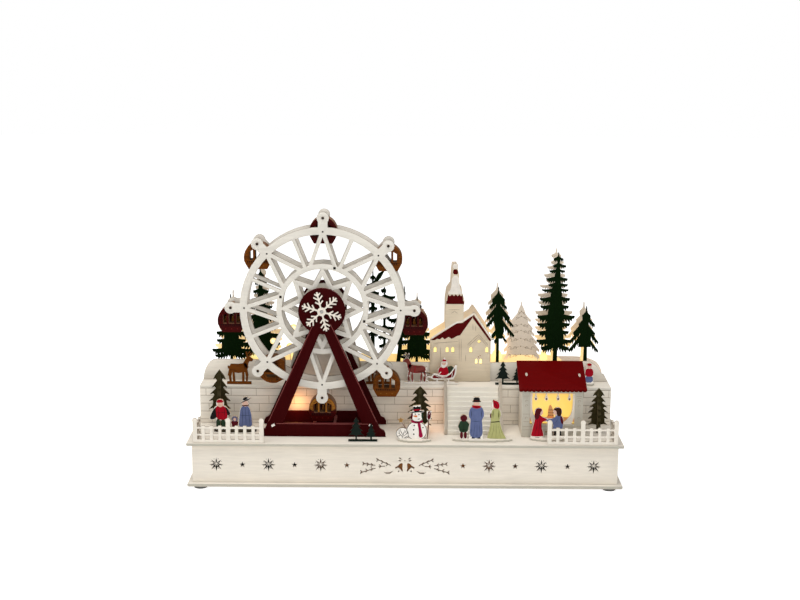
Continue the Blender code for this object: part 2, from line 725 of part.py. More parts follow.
def frame_fronts():
    front = WHEEL_MID_Y - FRAME_GAP / 2 - PLY
    return front, WHEEL_MID_Y + FRAME_GAP / 2


def build_frames():
    hole = disc(WHEEL_X, AXLE_Z, AXLE_RADIUS + RUN, 20)
    for name, front in zip(("frame_front", "frame_rear"), frame_fronts()):
        plate(name, frame_shape(), MAROON, front, [hole])


def snowflake_shape():
    centre = (WHEEL_X, AXLE_Z)
    shapes = [disc(*centre, SNOWFLAKE_HUB, 18)]
    for arm in range(6):
        angle = pi / 2 + SNOWFLAKE_TURN + arm * tau / 6
        shapes.append(bar(centre, polar(SNOWFLAKE_RADIUS, angle, centre), SNOWFLAKE_ARM))
        for reach, length in ((0.36, 0.26), (0.58, 0.30), (0.80, 0.19)):
            fork = polar(SNOWFLAKE_RADIUS * reach, angle, centre)
            for side in (-1, 1):
                tip = polar(SNOWFLAKE_RADIUS * length, angle + side * radians(48.0), fork)
                shapes.append(bar(fork, tip, SNOWFLAKE_ARM * 0.85))
    return shapes


def build_axle_and_drive():
    front, rear = frame_fronts()
    flake = front - SEAT - SNOWFLAKE_PLY
    motor = HOUSING_FRONT + HOUSING_WALL + SEAT
    middle = motor + MOTOR_DEPTH / 2
    centre = (WHEEL_X, AXLE_Z)
    hole = disc(*centre, AXLE_TIP + SEAT, 12)
    plate("snowflake", snowflake_shape(), SNOW_WHITE, flake, [hole], SNOWFLAKE_PLY)
    axle = [(disc(*centre, AXLE_RADIUS, 20), (front - SEAT / 2, motor - SEAT)),
            (disc(*centre, AXLE_TIP, 12), (flake - SEAT, middle))]
    slab("axle", axle, STEEL)
    ears = box(WHEEL_X - MOTOR_EAR_REACH, AXLE_Z - MOTOR_EAR_HALF,
               WHEEL_X + MOTOR_EAR_REACH, AXLE_Z + MOTOR_EAR_HALF)
    body = [(ears, (motor, motor + MOTOR_EAR_DEPTH)),
            (disc(*centre, MOTOR_RADIUS, 28), (motor, motor + MOTOR_DEPTH)),
            (disc(*centre, AXLE_TIP + RUN, 12), (middle + SEAT, motor + MOTOR_DEPTH))]
    slab("gear_motor", body, STEEL)
    build_housing()


def housing_outline(grow, low):
    """Round top about the axle, with straight sides that widen down to the terrace."""
    radius = HOUSING_TOP_RADIUS + grow
    half = HOUSING_HALF + grow
    angles = [radians(8.0) + radians(164.0) * k / 16 for k in range(17)]
    arc = [polar(radius, angle, (WHEEL_X, AXLE_Z)) for angle in angles]
    return [(WHEEL_X + half, low), *arc, (WHEEL_X - half, low)]


def build_housing():
    """The drive's cover: a shell that is open below, where it stands on the terrace."""
    back = HOUSING_FRONT + HOUSING_DEPTH
    outline = housing_outline(0.0, TERRACE)
    cover = plate("drive_housing", [outline], WHITE, HOUSING_FRONT, thickness=HOUSING_DEPTH)
    inner = housing_outline(-HOUSING_WALL, TERRACE - HOUSING_DEPTH)
    hole = disc(WHEEL_X, AXLE_Z, AXLE_RADIUS + RUN, 20)
    hollow = slab("housing_hollow", [
        (inner, (HOUSING_FRONT + HOUSING_WALL, back - HOUSING_WALL)),
        (hole, (HOUSING_FRONT - HOUSING_DEPTH, back - HOUSING_WALL)),
    ], WHITE)
    combine(cover, hollow, "DIFFERENCE")


# Trees

def spruce(x, low, apex, trunk, tiers, full=1.0, lean=0.0):
    """A tree in outline. Each tier gives the level and the left and right reach of its drooping tips.

    The gaps between the tips close toward the foot. A tree that is less full has thinner boughs, and lean
    carries the foot of the trunk aside.
    """
    sides = []
    for side, sign in ((1, -1), (2, 1)):
        line = []
        above, before = apex, tiers[0][side]
        for k, tier in enumerate(tiers):
            level, reach = tier[0], tier[side]
            drop = above - level
            share = full * (GAP_TOP + (GAP_FOOT - GAP_TOP) * k / (len(tiers) - 1))
            notch = max(share * min(reach, before), trunk) if k else trunk * 0.6
            if full < 1.0 and k:
                line.append((notch, level + drop * 0.94))
            line += [(notch, level + drop * 0.88 * full), (reach * 0.70, level + drop * 0.42 * full),
                     (reach, level), (reach * 0.64, level + drop * 0.15 * full)]
            above, before = level, reach
        line += [(trunk, above), (trunk, low)]
        sides.append([(x + sign * u + lean * (apex - z) / (apex - low), z) for u, z in line])
    return [(x, apex)] + sides[1] + sides[0][::-1]


# Groups of trees, drawn in millimetres along the terrace and above its top: place, apex, half the width of
# the trunk, tiers as level and left and right reach, how full the boughs are and how far the foot leans.
ROUND_TREE = ((80, 5, 5), (71.6, 8, 8), (62, 11, 11), (50, 16, 14), (41.4, 16, 16), (30.6, 21, 21),
              (24, 18, 18))
TREES = {
    "left": [
        (-190.3, 92.5, 1.8, ROUND_TREE, 1.0, 0.0),
        (-157.6, 126.0, 1.8, ((113, 3, 4), (105, 6, 7), (96, 8, 9), (87, 10, 11), (79, 13, 13), (68, 15, 17),
                              (58, 18, 19), (48, 21, 21), (38, 25, 21), (29, 21, 20)), 1.0, 0.0),
    ],
    "middle": [
        (-35.8, 120.0, 2.3, ((112, 3, 3), (104, 7, 9), (95, 6, 7), (86, 9, 6), (78, 6, 5), (68, 8, 7),
                             (58, 6, 9), (49, 9, 6)), 0.4, 0.0),
        (-23.2, 105.0, 1.6, ((98, 4, 2), (91, 3, 12), (80, 5, 4), (68, 5, 6), (56, 6, 6), (46, 7, 7),
                             (36, 6, 6)), 0.5, 0.0),
        (-1.7, 102.3, 2.4, ((95, 2, 2), (86, 5, 5), (76, 9, 7), (66, 15, 8), (57, 14, 9), (49, 12, 10),
                            (41, 10, 9)), 0.6, -8.0),
        (12.3, 91.0, 1.8, ROUND_TREE, 1.0, 0.0),
    ],
    "right": [
        (100.4, 102.5, 2.0, ((88, 7, 7), (79.4, 10, 9.5), (68, 12.5, 13), (59, 13, 17), (48, 7, 18),
                             (41.6, 4, 10)), 1.0, 0.0),
        (164.3, 140.6, 2.6, ((133, 5.3, 5.3), (125.7, 5.6, 8.5), (120, 9.5, 7.5), (111.3, 12.7, 10.6),
                             (105, 10, 11), (99.3, 17, 12), (89.6, 19, 14), (81, 18, 13), (70, 21, 20),
                             (61.5, 21, 15), (52.8, 21, 14), (43, 21, 16), (34.5, 16, 15)), 1.0, -1.2),
        (196.3, 81.3, 2.4, ((70.5, 4.5, 4.5), (60.8, 8, 9.5), (51, 14, 10), (41.3, 18, 14),
                            (31.6, 18.5, 14)), 1.0, 0.0),
    ],
}
PALE_TREE = (127.5, 81.4, 4.0, ((65.6, 5.4, 6), (60, 9.8, 10.8), (51, 18.1, 13), (44, 16, 15), (35, 18, 18),
                                (26, 18.8, 21), (16.8, 19, 23)), 1.0, 0.0)
SIDE_BRANCH = ((-36.6, 103.0), (-34.4, 102.4), (-27.0, 111.0), (-22.4, 120.0), (-30.2, 115.0))


def along(x):
    """A place along the terrace, from its place in the drawings."""
    return x / DRAWN_TERRACE * TERRACE_LENGTH


def standing_tree(tree):
    x, apex, trunk, tiers, full, lean = tree
    tiers = [(TERRACE + z * DRAWN, left * DRAWN, right * DRAWN) for z, left, right in tiers]
    return spruce(along(x), TERRACE, TERRACE + apex * DRAWN, trunk * DRAWN, tiers, full, lean * DRAWN)


def build_trees():
    for word, group in TREES.items():
        strip = box(along(group[0][0]), TERRACE, along(group[-1][0]), TERRACE + TREE_STRIP)
        shapes = [standing_tree(tree) for tree in group] + [strip]
        if word == "middle":
            shapes.append([(along(x), TERRACE + z * DRAWN) for x, z in SIDE_BRANCH])
        plate(f"spruces_{word}", shapes, SPRUCE_GREEN, TREES_Y)


def slot_tree(name, x, inset, height, half_width):
    """Two plates slotted into each other at a right angle."""
    y = DECK_FRONT + inset
    shares = ((0.83, 0.58), (0.69, 0.70), (0.57, 0.90), (0.45, 1.0), (0.31, 1.0), (0.18, 0.94))
    tiers = [(DECK + height * a, half_width * b, half_width * b * 0.97) for a, b in shares]
    apex = DECK + height
    tree = plate(name, [spruce(x, DECK, apex, SLOT_TRUNK, tiers)], SLOT_TREE, y - PLY / 2)
    shape = spruce(y, DECK, apex - SLOT_STEP, SLOT_TRUNK, tiers)
    cross = plate(name + "_cross", [shape], SLOT_TREE, x - PLY / 2, facing="X")
    combine(tree, cross, "UNION")


def twin_trees(name, x, low, front):
    """Two small spruces on one strip, a tall one and a short one."""
    def tree(u, height, half):
        tiers = [(low + height * a * DRAWN, half * b * DRAWN, half * b * DRAWN)
                 for a, b in ((0.78, 0.36), (0.60, 0.58), (0.42, 0.82), (0.24, 1.0))]
        return spruce(x + u * DRAWN, low, low + height * DRAWN, 0.8 * DRAWN, tiers)
    strip = box(x - 15.0 * DRAWN, low, x + 15.0 * DRAWN, low + 1.8 * DRAWN)
    plate(name, [strip, tree(-6.9, 25.6, 8.0), tree(8.5, 18.8, 5.8)], SLATE_GREEN, front,
          thickness=FIGURE_PLY)


# Hill, church and back scene

def church_shapes(x):
    """Tower with lantern and ball, nave with its roof, and the gable front, from the nave's left end."""
    tower = box(16.1, 0.0, 36.0, 85.6)
    top = [(16.8, 84.0), (35.4, 84.0), (36.6, 85.6), (36.8, 89.4), (34.8, 96.6), (31.2, 102.7),
           (30.6, 117.6), (29.0, 124.6), (24.0, 124.6), (22.9, 117.6), (22.2, 102.7), (18.0, 96.5),
           (16.4, 89.4), (16.4, 85.6)]
    ball = disc(26.4, 127.0, 3.2, 14)
    nave = [(0.0, 0.0), (46.8, 0.0), (46.8, 74.2), (35.0, 66.0), (28.7, 65.2), (0.0, 46.6)]
    gable = [(29.8, 0.0), (65.6, 0.0), (65.6, 45.6), (68.3, 46.6), (48.4, 76.0), (46.5, 77.0), (29.8, 51.0)]
    return drawn([tower, top, ball, nave, gable], x, TERRACE)


def church_windows(x):
    windows = [disc(53.0, 44.5, 1.7, 8)]
    high = [(place, 32.3, 1.5) for place in (5.7, 18.7, 24.8, 44.3, 61.6)]
    for place, sill, half in high + [(50.4, 19.6, 1.3), (55.1, 19.6, 1.3)]:
        head = sill + 4.8
        crown = [(place + half, head), (place, head + half), (place - half, head)]
        windows.append([(place - half, sill), (place + half, sill), *crown])
    return drawn(windows, x, TERRACE)


def hill_shape():
    """A long low hill with rounded shoulders at both ends."""
    half = TERRACE_LENGTH / 2 - HILL_END
    top = TERRACE + HILL_RISE
    quarter = [pi / 2 * k / 6 for k in range(7)]
    left = [(-half + 14.0 * DRAWN * (1 - cos(a)), top - HILL_RISE * (1 - sin(a))) for a in quarter]
    ridge = [(0.0, -2.2), (along(100.0), -2.2), (half - 20.0 * DRAWN, 0.0), (half - 12.0 * DRAWN, -6.0),
             (half - 3.0 * DRAWN, -18.0)]
    return left + [(x, top + z * DRAWN) for x, z in ridge] + [(half, TERRACE)]


def build_background():
    church_x = along(CHURCH_DRAWN_X)
    plate("hill", [hill_shape()], WHITE, HILL_Y)
    plate("church", church_shapes(church_x), WHITE, CHURCH_Y, church_windows(church_x))
    strip = box(-TERRACE_LENGTH / 2, DECK, TERRACE_LENGTH / 2, TERRACE + HILL_RISE * 0.8)
    solid = [strip, standing_tree(PALE_TREE)] + church_shapes(church_x)
    for group in TREES.values():
        solid += [standing_tree(tree) for tree in group if tree[4] == 1.0]
    plate("back_scene", solid, WHITE, BACK_Y)


def build_lights():
    """A strip of small lamps on the terrace between the hill and the trees."""
    half = TERRACE_LENGTH / 2 - LAMP_MARGIN
    places = [-half + 2 * half * (k + 0.5) / LAMPS for k in range(LAMPS)]
    lamps = [disc(x, TERRACE + LAMP_RISE, LAMP_RADIUS, 8) for x in places]
    strip = box(-half, TERRACE, half, TERRACE + LED_STRIP)
    plate("led_strip", [strip] + lamps, WHITE, LED_Y, thickness=LED_PLY)


# Figures. Each is drawn in millimetres about the middle of its foot line.

def oval_foot(x0, x1, low, front, margin):
    """Steps of a flat base plate whose ends narrow, seen from above as an oval."""
    middle, half = (x0 + x1) / 2, (x1 - x0) / 2
    steps = []
    for share, part in ((1.0, 0.2), (0.90, 0.5), (0.70, 0.8), (0.45, 1.0)):
        outline = box(middle - half * share, low, middle + half * share, low + FOOT_PLATE)
        steps.append((outline, (front - margin * part, front + FIGURE_PLY + margin * part)))
    return steps


def standing(name, shapes, ends, front, colour, low=DECK, margin=FIGURE_MARGIN):
    """Figures cut from one plate, standing on an oval foot."""
    span = (front, front + FIGURE_PLY)
    slab(name, [(shape, span) for shape in shapes] + oval_foot(*ends, low, front, margin), colour)


def man_shape():
    side = [(7.6, 2.0), (7.0, 18.0), (6.0, 24.0), (8.2, 26.0), (8.6, 33.0), (6.4, 38.0), (2.5, 40.5)]
    coat = side + [(-u, v) for u, v in side[::-1]]
    boots = [box(-5.2, 0.0, -1.2, 3.0), box(1.2, 0.0, 5.2, 3.0)]
    head = disc(0.0, 42.6, 3.4, 16)
    hat = [(-5.0, 43.8), (5.0, 43.8), (5.0, 44.8), (3.4, 45.2), (3.6, 49.5), (-3.6, 49.5), (-3.4, 45.2),
           (-5.0, 44.8)]
    return [coat, *boots, head, hat]


def woman_shape():
    dress = [(-9.4, 1.6), (11.6, 1.6), (12.2, 3.6), (8.4, 9.0), (5.4, 19.0), (4.2, 25.0), (6.0, 30.0),
             (4.8, 35.0), (2.6, 37.5), (-3.0, 37.5), (-5.6, 34.0), (-6.4, 28.0), (-4.6, 25.0), (-6.4, 14.0),
             (-9.0, 5.0)]
    hood = [(-3.6, 36.0), (3.6, 36.0), (4.2, 41.0), (2.8, 45.0), (-1.2, 46.5), (-4.0, 44.0), (-4.6, 40.0)]
    shoes = box(-5.0, 0.0, 5.0, 2.5)
    return [dress, hood, shoes]


def child_shape():
    coat = [(-4.6, 9.0), (4.6, 9.0), (5.2, 14.0), (6.6, 18.0), (4.6, 20.0), (3.4, 22.5), (-3.4, 22.5),
            (-4.8, 20.0), (-6.4, 15.0), (-5.0, 14.0)]
    legs = [box(-3.8, 0.0, -0.6, 9.8), box(0.4, 0.0, 3.6, 9.8)]
    head = disc(0.0, 25.0, 4.0, 16)
    return [coat, *legs, head]


def couple_shape():
    """A girl in a long cloak and a boy in a jacket, face to face."""
    girl = [(-17.5, 2.0), (-4.5, 2.0), (-4.0, 6.0), (-6.6, 15.0), (-5.4, 19.0), (-0.6, 20.0), (-1.2, 22.6),
            (-6.6, 24.0), (-8.0, 27.0), (-12.6, 27.0), (-13.8, 20.0), (-16.4, 9.0)]
    hood = disc(-9.6, 29.0, 4.3, 16)
    boy = [(4.4, 9.0), (14.4, 9.0), (15.6, 16.0), (15.0, 23.0), (12.4, 26.5), (8.2, 26.5), (6.0, 22.6),
           (-2.6, 21.8), (-2.4, 19.2), (5.6, 18.2)]
    hair = disc(9.4, 29.6, 4.4, 16)
    feet = [box(6.0, 0.0, 9.0, 10.0), box(10.6, 0.0, 13.6, 10.0), box(-13.0, 0.0, -8.0, 3.0)]
    return [girl, hood, boy, hair, *feet]


def snowman_shape():
    body = [disc(0.0, 10.5, 10.8, 28), disc(0.4, 26.2, 6.2, 22)]
    hat = [(-7.4, 29.8), (7.4, 31.2), (7.2, 32.8), (4.2, 32.6), (3.8, 38.4), (-4.0, 37.6), (-4.2, 31.8),
           (-7.6, 31.2)]
    broom = [bar((11.2, 0.6), (12.4, 24.0), 1.5), [(10.6, 23.0), (14.4, 23.4), (15.2, 32.6), (10.2, 31.8)]]
    arm = bar((8.0, 16.0), (12.0, 19.0), 2.2)
    bush = disc(-14.6, 7.6, 6.8, 18)
    joint = box(-16.0, 0.0, -4.0, 3.0)
    twig = [bar((-10.0, 12.0), (-15.6, 20.0), 1.2), star(-16.4, 22.0, 3.4, 5, 0.45)]
    return [*body, hat, *broom, arm, bush, joint, *twig]


def family_left_shape():
    """A child in a cape, a small child and a man in a long coat, on one strip."""
    jacket = [(-21.9, 12.4), (-10.0, 12.4), (-9.4, 20.0), (-11.6, 27.1), (-15.2, 28.8), (-19.8, 28.8),
              (-23.4, 26.5), (-22.8, 20.0)]
    cape = [[(-23.4, 26.5), (-19.0, 26.0), (-21.0, 14.6), (-25.4, 12.6), (-29.5, 13.2), (-27.6, 19.0)],
            [(-14.0, 27.0), (-11.6, 27.1), (-8.4, 23.6), (-6.3, 18.6), (-9.2, 17.0), (-13.0, 18.0)]]
    cap = [(-22.0, 31.2), (-13.4, 31.8), (-14.6, 34.4), (-17.8, 35.4), (-20.8, 34.0)]
    child = [jacket, *cape, cap, disc(-17.6, 30.2, 4.1, 16), box(-22.2, 0.0, -17.8, 13.4),
             box(-16.6, 0.0, -12.6, 13.4)]
    small = [[(-5.8, 4.4), (0.8, 4.4), (0.6, 8.0), (1.8, 10.0), (-0.8, 12.4), (-4.2, 12.4), (-7.0, 10.0),
              (-5.6, 8.0)], disc(-2.5, 13.8, 3.2, 14), box(-4.8, 0.0, -3.0, 5.4), box(-2.2, 0.0, -0.4, 5.4)]
    coat = [(1.2, 4.2), (16.2, 4.2), (15.8, 13.0), (15.2, 20.0), (13.4, 26.2), (10.6, 28.6), (6.6, 28.4),
            (3.4, 25.5), (2.4, 18.0), (1.8, 11.0)]
    hat = [(4.2, 30.6), (14.8, 35.6), (14.4, 37.0), (12.2, 36.2), (10.6, 38.6), (5.8, 36.4), (6.4, 33.4),
           (3.8, 31.9)]
    man = [coat, hat, disc(8.8, 30.8, 3.6, 16), box(4.2, 0.0, 7.2, 5.4), box(9.4, 0.0, 12.4, 5.4)]
    return [*child, *small, *man]


def deer_shape(grazing):
    """A deer in side view, with its head up, or down to graze."""
    body = [(-10.2, 18.8), (-8.4, 22.0), (0.0, 21.8), (5.0, 22.6), (8.4, 24.6), (10.4, 18.4), (8.2, 13.4),
            (0.0, 12.2), (-6.6, 13.2), (-10.4, 15.4)]
    legs = [bar((-8.2, 17.0), (-9.8, 9.0), 4.0), bar((-9.6, 10.4), (-8.6, 1.0), 2.2),
            bar((-5.6, 15.0), (-4.8, 1.0), 2.3), bar((5.0, 15.0), (4.8, 1.0), 2.4),
            bar((8.0, 15.5), (9.2, 9.0), 2.8), bar((9.2, 10.0), (8.4, 1.0), 2.1)]
    if grazing:
        head = [[(5.2, 22.0), (9.6, 20.2), (14.2, 13.4), (16.4, 9.0), (14.0, 7.2), (11.0, 9.4), (7.4, 14.0)]]
    else:
        neck = [(4.2, 21.6), (8.0, 28.0), (9.2, 30.4), (12.2, 30.0), (15.8, 27.2), (15.0, 25.2),
                (12.0, 25.2), (10.4, 22.0), (9.4, 16.0)]
        head = [neck, bar((10.0, 28.6), (8.6, 35.6), 1.4), bar((9.2, 32.0), (12.8, 36.2), 1.2),
                bar((10.6, 29.2), (14.2, 34.2), 1.4), bar((12.6, 32.0), (15.6, 33.2), 1.1)]
    tail = [(-9.4, 19.0), (-11.6, 20.2), (-11.2, 16.2)]
    return [body, *legs, *head, tail, box(-12.6, 0.0, 13.6, 2.6)]


def sleigh_group_shape():
    """A reindeer in front of a sleigh with its driver and a sack, on one strip."""
    deer = scaled(mirrored(deer_shape(False)), 0.96, -17.0)
    sleigh = [(-2.6, 7.0), (1.0, 12.4), (5.0, 12.0), (8.0, 10.0), (16.0, 10.4), (20.0, 14.0), (24.4, 21.6),
              (26.4, 21.4), (25.6, 12.0), (22.6, 5.6), (2.6, 5.0)]
    runner = [bar((-4.0, 2.6), (24.0, 2.6), 1.5), bar((4.0, 1.6), (6.0, 6.4), 1.4),
              bar((18.0, 1.6), (17.0, 6.4), 1.4), bar((-4.0, 2.8), (-7.0, 6.0), 1.5),
              bar((-7.0, 5.4), (-4.6, 9.0), 1.4), bar((-5.0, 8.6), (-1.0, 8.2), 1.4)]
    driver = [[(6.0, 10.0), (18.0, 10.0), (17.0, 18.0), (13.6, 21.6), (9.6, 21.0), (6.0, 17.0)],
              disc(12.6, 23.0, 3.6, 16), [(9.8, 24.0), (15.8, 24.6), (14.0, 28.6), (11.4, 28.8)]]
    sack = disc(19.4, 16.0, 4.6, 14)
    rein = bar((-14.0, 14.0), (2.0, 11.0), 1.0)
    return [*deer, sleigh, *runner, *driver, sack, rein, box(-30.0, 0.0, 28.0, 2.2)]


def visitor_shape():
    side = [(4.8, 2.0), (4.0, 10.0), (5.1, 14.0), (3.0, 18.2)]
    coat = side + [(-u, v) for u, v in side[::-1]]
    return [coat, disc(0.0, 20.2, 3.3, 14), box(-3.0, 0.0, 3.0, 2.6)]


def build_figures():
    snowman = drawn(snowman_shape(), SNOWMAN_X, DECK)
    ends = (SNOWMAN_X - 19.0 * DRAWN, SNOWMAN_X + 15.0 * DRAWN)
    standing("snowman", snowman, ends, DECK_FRONT + SNOWMAN_INSET, SNOW_WHITE)
    people = drawn(child_shape(), FAMILY_X - 13.0 * DRAWN, DECK, 0.96)
    people += drawn(man_shape(), FAMILY_X, DECK, 0.94)
    people += drawn(woman_shape(), FAMILY_X + 20.0 * DRAWN, DECK, 0.94)
    ends = (FAMILY_X - 24.5 * DRAWN, FAMILY_X + 37.5 * DRAWN)
    standing("family_centre", people, ends, DECK_FRONT + FAMILY_INSET, FIGURE_BLUE)
    people = drawn(family_left_shape(), LEFT_FAMILY_X, DECK)
    ends = (LEFT_FAMILY_X - 24.5 * DRAWN, LEFT_FAMILY_X + 20.0 * DRAWN)
    standing("family_left", people, ends, DECK_FRONT + LEFT_FAMILY_INSET, FIGURE_BLUE, margin=NARROW_MARGIN)
    people = drawn(couple_shape(), COUPLE_X, DECK, 1.03)
    ends = (COUPLE_X - 18.0 * DRAWN, COUPLE_X + 20.0 * DRAWN)
    standing("couple_right", people, ends, DECK_FRONT + COUPLE_INSET, ROOF_RED)
    people = drawn(visitor_shape(), VISITOR_X, TERRACE)
    ends = (VISITOR_X - 5.4 * DRAWN, VISITOR_X + 5.4 * DRAWN)
    standing("visitor", people, ends, WALL_FRONT + VISITOR_INSET, FIGURE_BLUE, TERRACE)
    for name, shapes, x, inset, colour in (
        ("deer_left", deer_shape(False), DEER_LEFT_X, DEER_LEFT_INSET, DEER_BROWN),
        ("deer_right", deer_shape(True), DEER_RIGHT_X, DEER_RIGHT_INSET, DEER_BROWN),
        ("sleigh_group", sleigh_group_shape(), SLEIGH_X, SLEIGH_INSET, ROOF_RED),
    ):
        plate(name, drawn(shapes, x, TERRACE), colour, WALL_FRONT + inset, thickness=FIGURE_PLY)


# Fences and stall

def fence_run(start, bays):
    """Posts with ball tops, pickets and three rails, along one line."""
    shapes = []
    for k in range(bays + 1):
        x = start + k * FENCE_BAY
        shapes.append(box(x - POST_WIDTH / 2, DECK, x + POST_WIDTH / 2, DECK + POST_HEIGHT))
        shapes.append(disc(x, DECK + POST_HEIGHT + POST_BALL / 2, POST_BALL, 10))
    for k in range(bays):
        for picket in range(PICKETS):
            x = start + FENCE_BAY * (k + (picket + 1) / (PICKETS + 1))
            shapes.append(picket_shape(x))
    for low, high in RAIL_SPANS:
        shapes.append(box(start, DECK + low, start + bays * FENCE_BAY, DECK + high))
    return shapes


def picket_shape(place):
    return box(place - PICKET_WIDTH / 2, DECK + PICKET_LIFT, place + PICKET_WIDTH / 2, DECK + PICKET_HEIGHT)


def return_run(y_front):
    """The short stretch of fence along the side of the deck."""
    shapes = [box(y_front, DECK + low, y_front + FENCE_RETURN, DECK + high) for low, high in RAIL_SPANS]
    pitch = FENCE_RETURN / PICKETS
    shapes += [picket_shape(y_front + (k + 1) * pitch - PICKET_WIDTH / 2) for k in range(PICKETS)]
    return shapes


def build_fences():
    for name, start, corner in (
        ("fence_left", FENCE_LEFT_X, FENCE_LEFT_X),
        ("fence_right", FENCE_RIGHT_X, FENCE_RIGHT_X + FENCE_BAYS * FENCE_BAY),
    ):
        fence = plate(name, fence_run(start, FENCE_BAYS), WHITE, FENCE_Y, thickness=FIGURE_PLY)
        side = plate(name + "_return", return_run(FENCE_Y + RETURN_LAP), WHITE, corner - FIGURE_PLY / 2,
                     thickness=FIGURE_PLY, facing="X")
        combine(fence, side, "UNION")


def build_stall():
    """Stall with a sloping roof against the terrace: a box, its hollow and its serving opening."""
    side = [(STALL_FRONT, DECK), (STALL_REAR, DECK), (STALL_REAR, STALL_RIDGE), (STALL_FRONT, STALL_EAVES)]
    body = plate("stall_body", [side], WHITE, STALL_LEFT, thickness=STALL_RIGHT - STALL_LEFT, facing="X")
    room = box(STALL_FRONT + PLY, DECK + PLY, STALL_REAR - PLY, STALL_RIDGE + CLEAR)
    hatch = box(STALL_FRONT - CLEAR, STALL_SILL, STALL_FRONT + PLY, STALL_EAVES - STALL_LINTEL)
    hollow = slab("stall_hollow", [
        (room, (STALL_LEFT + PLY, STALL_RIGHT - PLY)),
        (hatch, (STALL_LEFT + STALL_POST, STALL_RIGHT - STALL_POST)),
    ], WHITE, "X")
    combine(body, hollow, "DIFFERENCE")
    build_stall_roof()


def build_stall_roof():
    """A plate with a scalloped front edge, laid on the slope of the stall."""
    rise, run = STALL_RIDGE - STALL_EAVES, STALL_REAR - STALL_FRONT
    pitch = atan2(rise, run)
    half = (STALL_RIGHT - STALL_LEFT) / 2 + ROOF_OVERHANG
    lobe = 2 * half / SCALLOPS
    edge = []
    for k in range(SCALLOPS):
        middle = -half + (k + 0.5) * lobe
        for j in range(4):
            angle = pi + pi * j / 4
            edge.append((middle + lobe / 2 * cos(angle), lobe * 0.35 * sin(angle) - ROOF_FRONT_LIP))
    outline = edge + [(half, -ROOF_FRONT_LIP), (half, hypot(rise, run)), (-half, hypot(rise, run))]
    roof = plate("stall_roof", [outline], ROOF_RED, 0.0, thickness=PLY, facing="Z")
    roof.rotation_euler = (pitch, 0.0, 0.0)
    middle = (STALL_LEFT + STALL_RIGHT) / 2
    roof.location = (middle, STALL_FRONT - SEAT * sin(pitch), STALL_EAVES + SEAT * cos(pitch))


def build_all():
    clear_scene()
    build_base()
    build_battery()
    build_switch()
    build_terrace()
    build_stairs()
    build_wheel()
    build_gondolas()
    build_frames()
    build_axle_and_drive()
    build_trees()
    slot_tree("slot_tree_left", SLOT_LEFT_X, SLOT_LEFT_INSET, 62.4 * DRAWN, 11.5 * DRAWN)
    slot_tree("slot_tree_middle", SLOT_MIDDLE_X, SLOT_MIDDLE_INSET, 51.3 * DRAWN, 13.0 * DRAWN)
    slot_tree("slot_tree_right", SLOT_RIGHT_X, SLOT_RIGHT_INSET, 48.2 * DRAWN, 10.5 * DRAWN)
    twin_trees("twin_trees_front", TWINS_FRONT_X, DECK, DECK_FRONT + TWINS_FRONT_INSET)
    twin_trees("twin_trees_terrace", TWINS_TERRACE_X, TERRACE, WALL_FRONT + TWINS_TERRACE_INSET)
    build_background()
    build_lights()
    build_figures()
    build_fences()
    build_stall()


build_all()
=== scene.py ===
"""The finished look of the lit winter scene with its ferris wheel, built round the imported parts."""
import json
from functools import cache
from math import cos, pi, radians, sin, tau

import bmesh
import bpy
import numpy as np
from mathutils import Matrix, Vector
from mathutils.bvhtree import BVHTree


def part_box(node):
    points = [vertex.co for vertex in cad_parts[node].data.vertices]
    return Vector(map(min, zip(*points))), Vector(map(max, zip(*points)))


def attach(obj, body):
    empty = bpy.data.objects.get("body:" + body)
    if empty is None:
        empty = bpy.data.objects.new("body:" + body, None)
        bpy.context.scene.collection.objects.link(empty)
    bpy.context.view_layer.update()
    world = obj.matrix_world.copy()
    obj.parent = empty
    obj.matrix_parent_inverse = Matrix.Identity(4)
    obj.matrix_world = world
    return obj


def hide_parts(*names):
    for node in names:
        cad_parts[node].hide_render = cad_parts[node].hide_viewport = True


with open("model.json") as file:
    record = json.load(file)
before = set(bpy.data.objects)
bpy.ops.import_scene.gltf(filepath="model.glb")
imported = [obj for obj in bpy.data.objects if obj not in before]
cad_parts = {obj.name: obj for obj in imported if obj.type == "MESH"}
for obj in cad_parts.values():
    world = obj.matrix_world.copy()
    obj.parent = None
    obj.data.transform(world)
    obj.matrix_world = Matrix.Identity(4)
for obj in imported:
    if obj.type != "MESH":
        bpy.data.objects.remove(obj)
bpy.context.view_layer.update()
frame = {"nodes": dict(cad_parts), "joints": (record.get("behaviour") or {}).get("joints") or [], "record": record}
MM = 0.001

# Places that the frame gives
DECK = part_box("deck_board")[1].z
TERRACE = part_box("terrace_board")[1].z
AXLE = next(Vector(j["pos_m"]) for j in frame["joints"] if j["name"] == "wheel_spin")
BODY_OF = {node: body for body, nodes in frame["record"]["behaviour"]["bodies"].items() for node in nodes}
CAR_SPOTS = {j["child"]: Vector(j["pos_m"]) for j in frame["joints"] if "pos_m" in j}

# Where thin pieces lie in depth, along Y in metres
CAR_FACE = -0.0299
PIN_END = -0.0366
RIDER_FACE = -0.0187
ORNAMENT_FACE = -0.04162
GOODS_FACE = -0.02002
PALE_TREE_FACE = 0.0594
FIGURE_PLY = 0.0024
FOOT_PLATE = 0.00235

# Near and far face of added plates, along Y in millimetres
SPRUCES = (37.0, 39.6)
REAR_PLATE = (60.0, 62.5)
REAR_END = (60.4, 62.4)
PALE_TREE_PLATE = (59.5, 62.6)
HAZE = (59.2, 59.5)
LAMP_HALOS = (28.0, 28.6)
LAMP_BULBS = (27.2, 28.1)
LAMP_WIRES = (28.3, 28.8)
STALL_BACK = (-5.4, -4.8)
STALL_TRIM = (-41.6, -40.4)
STALL_GOODS = (-20.0, -17.6)
RIDER_PLATE = (-18.6, -17.4)
FRAME_TIES = (-42.9, -2.3)

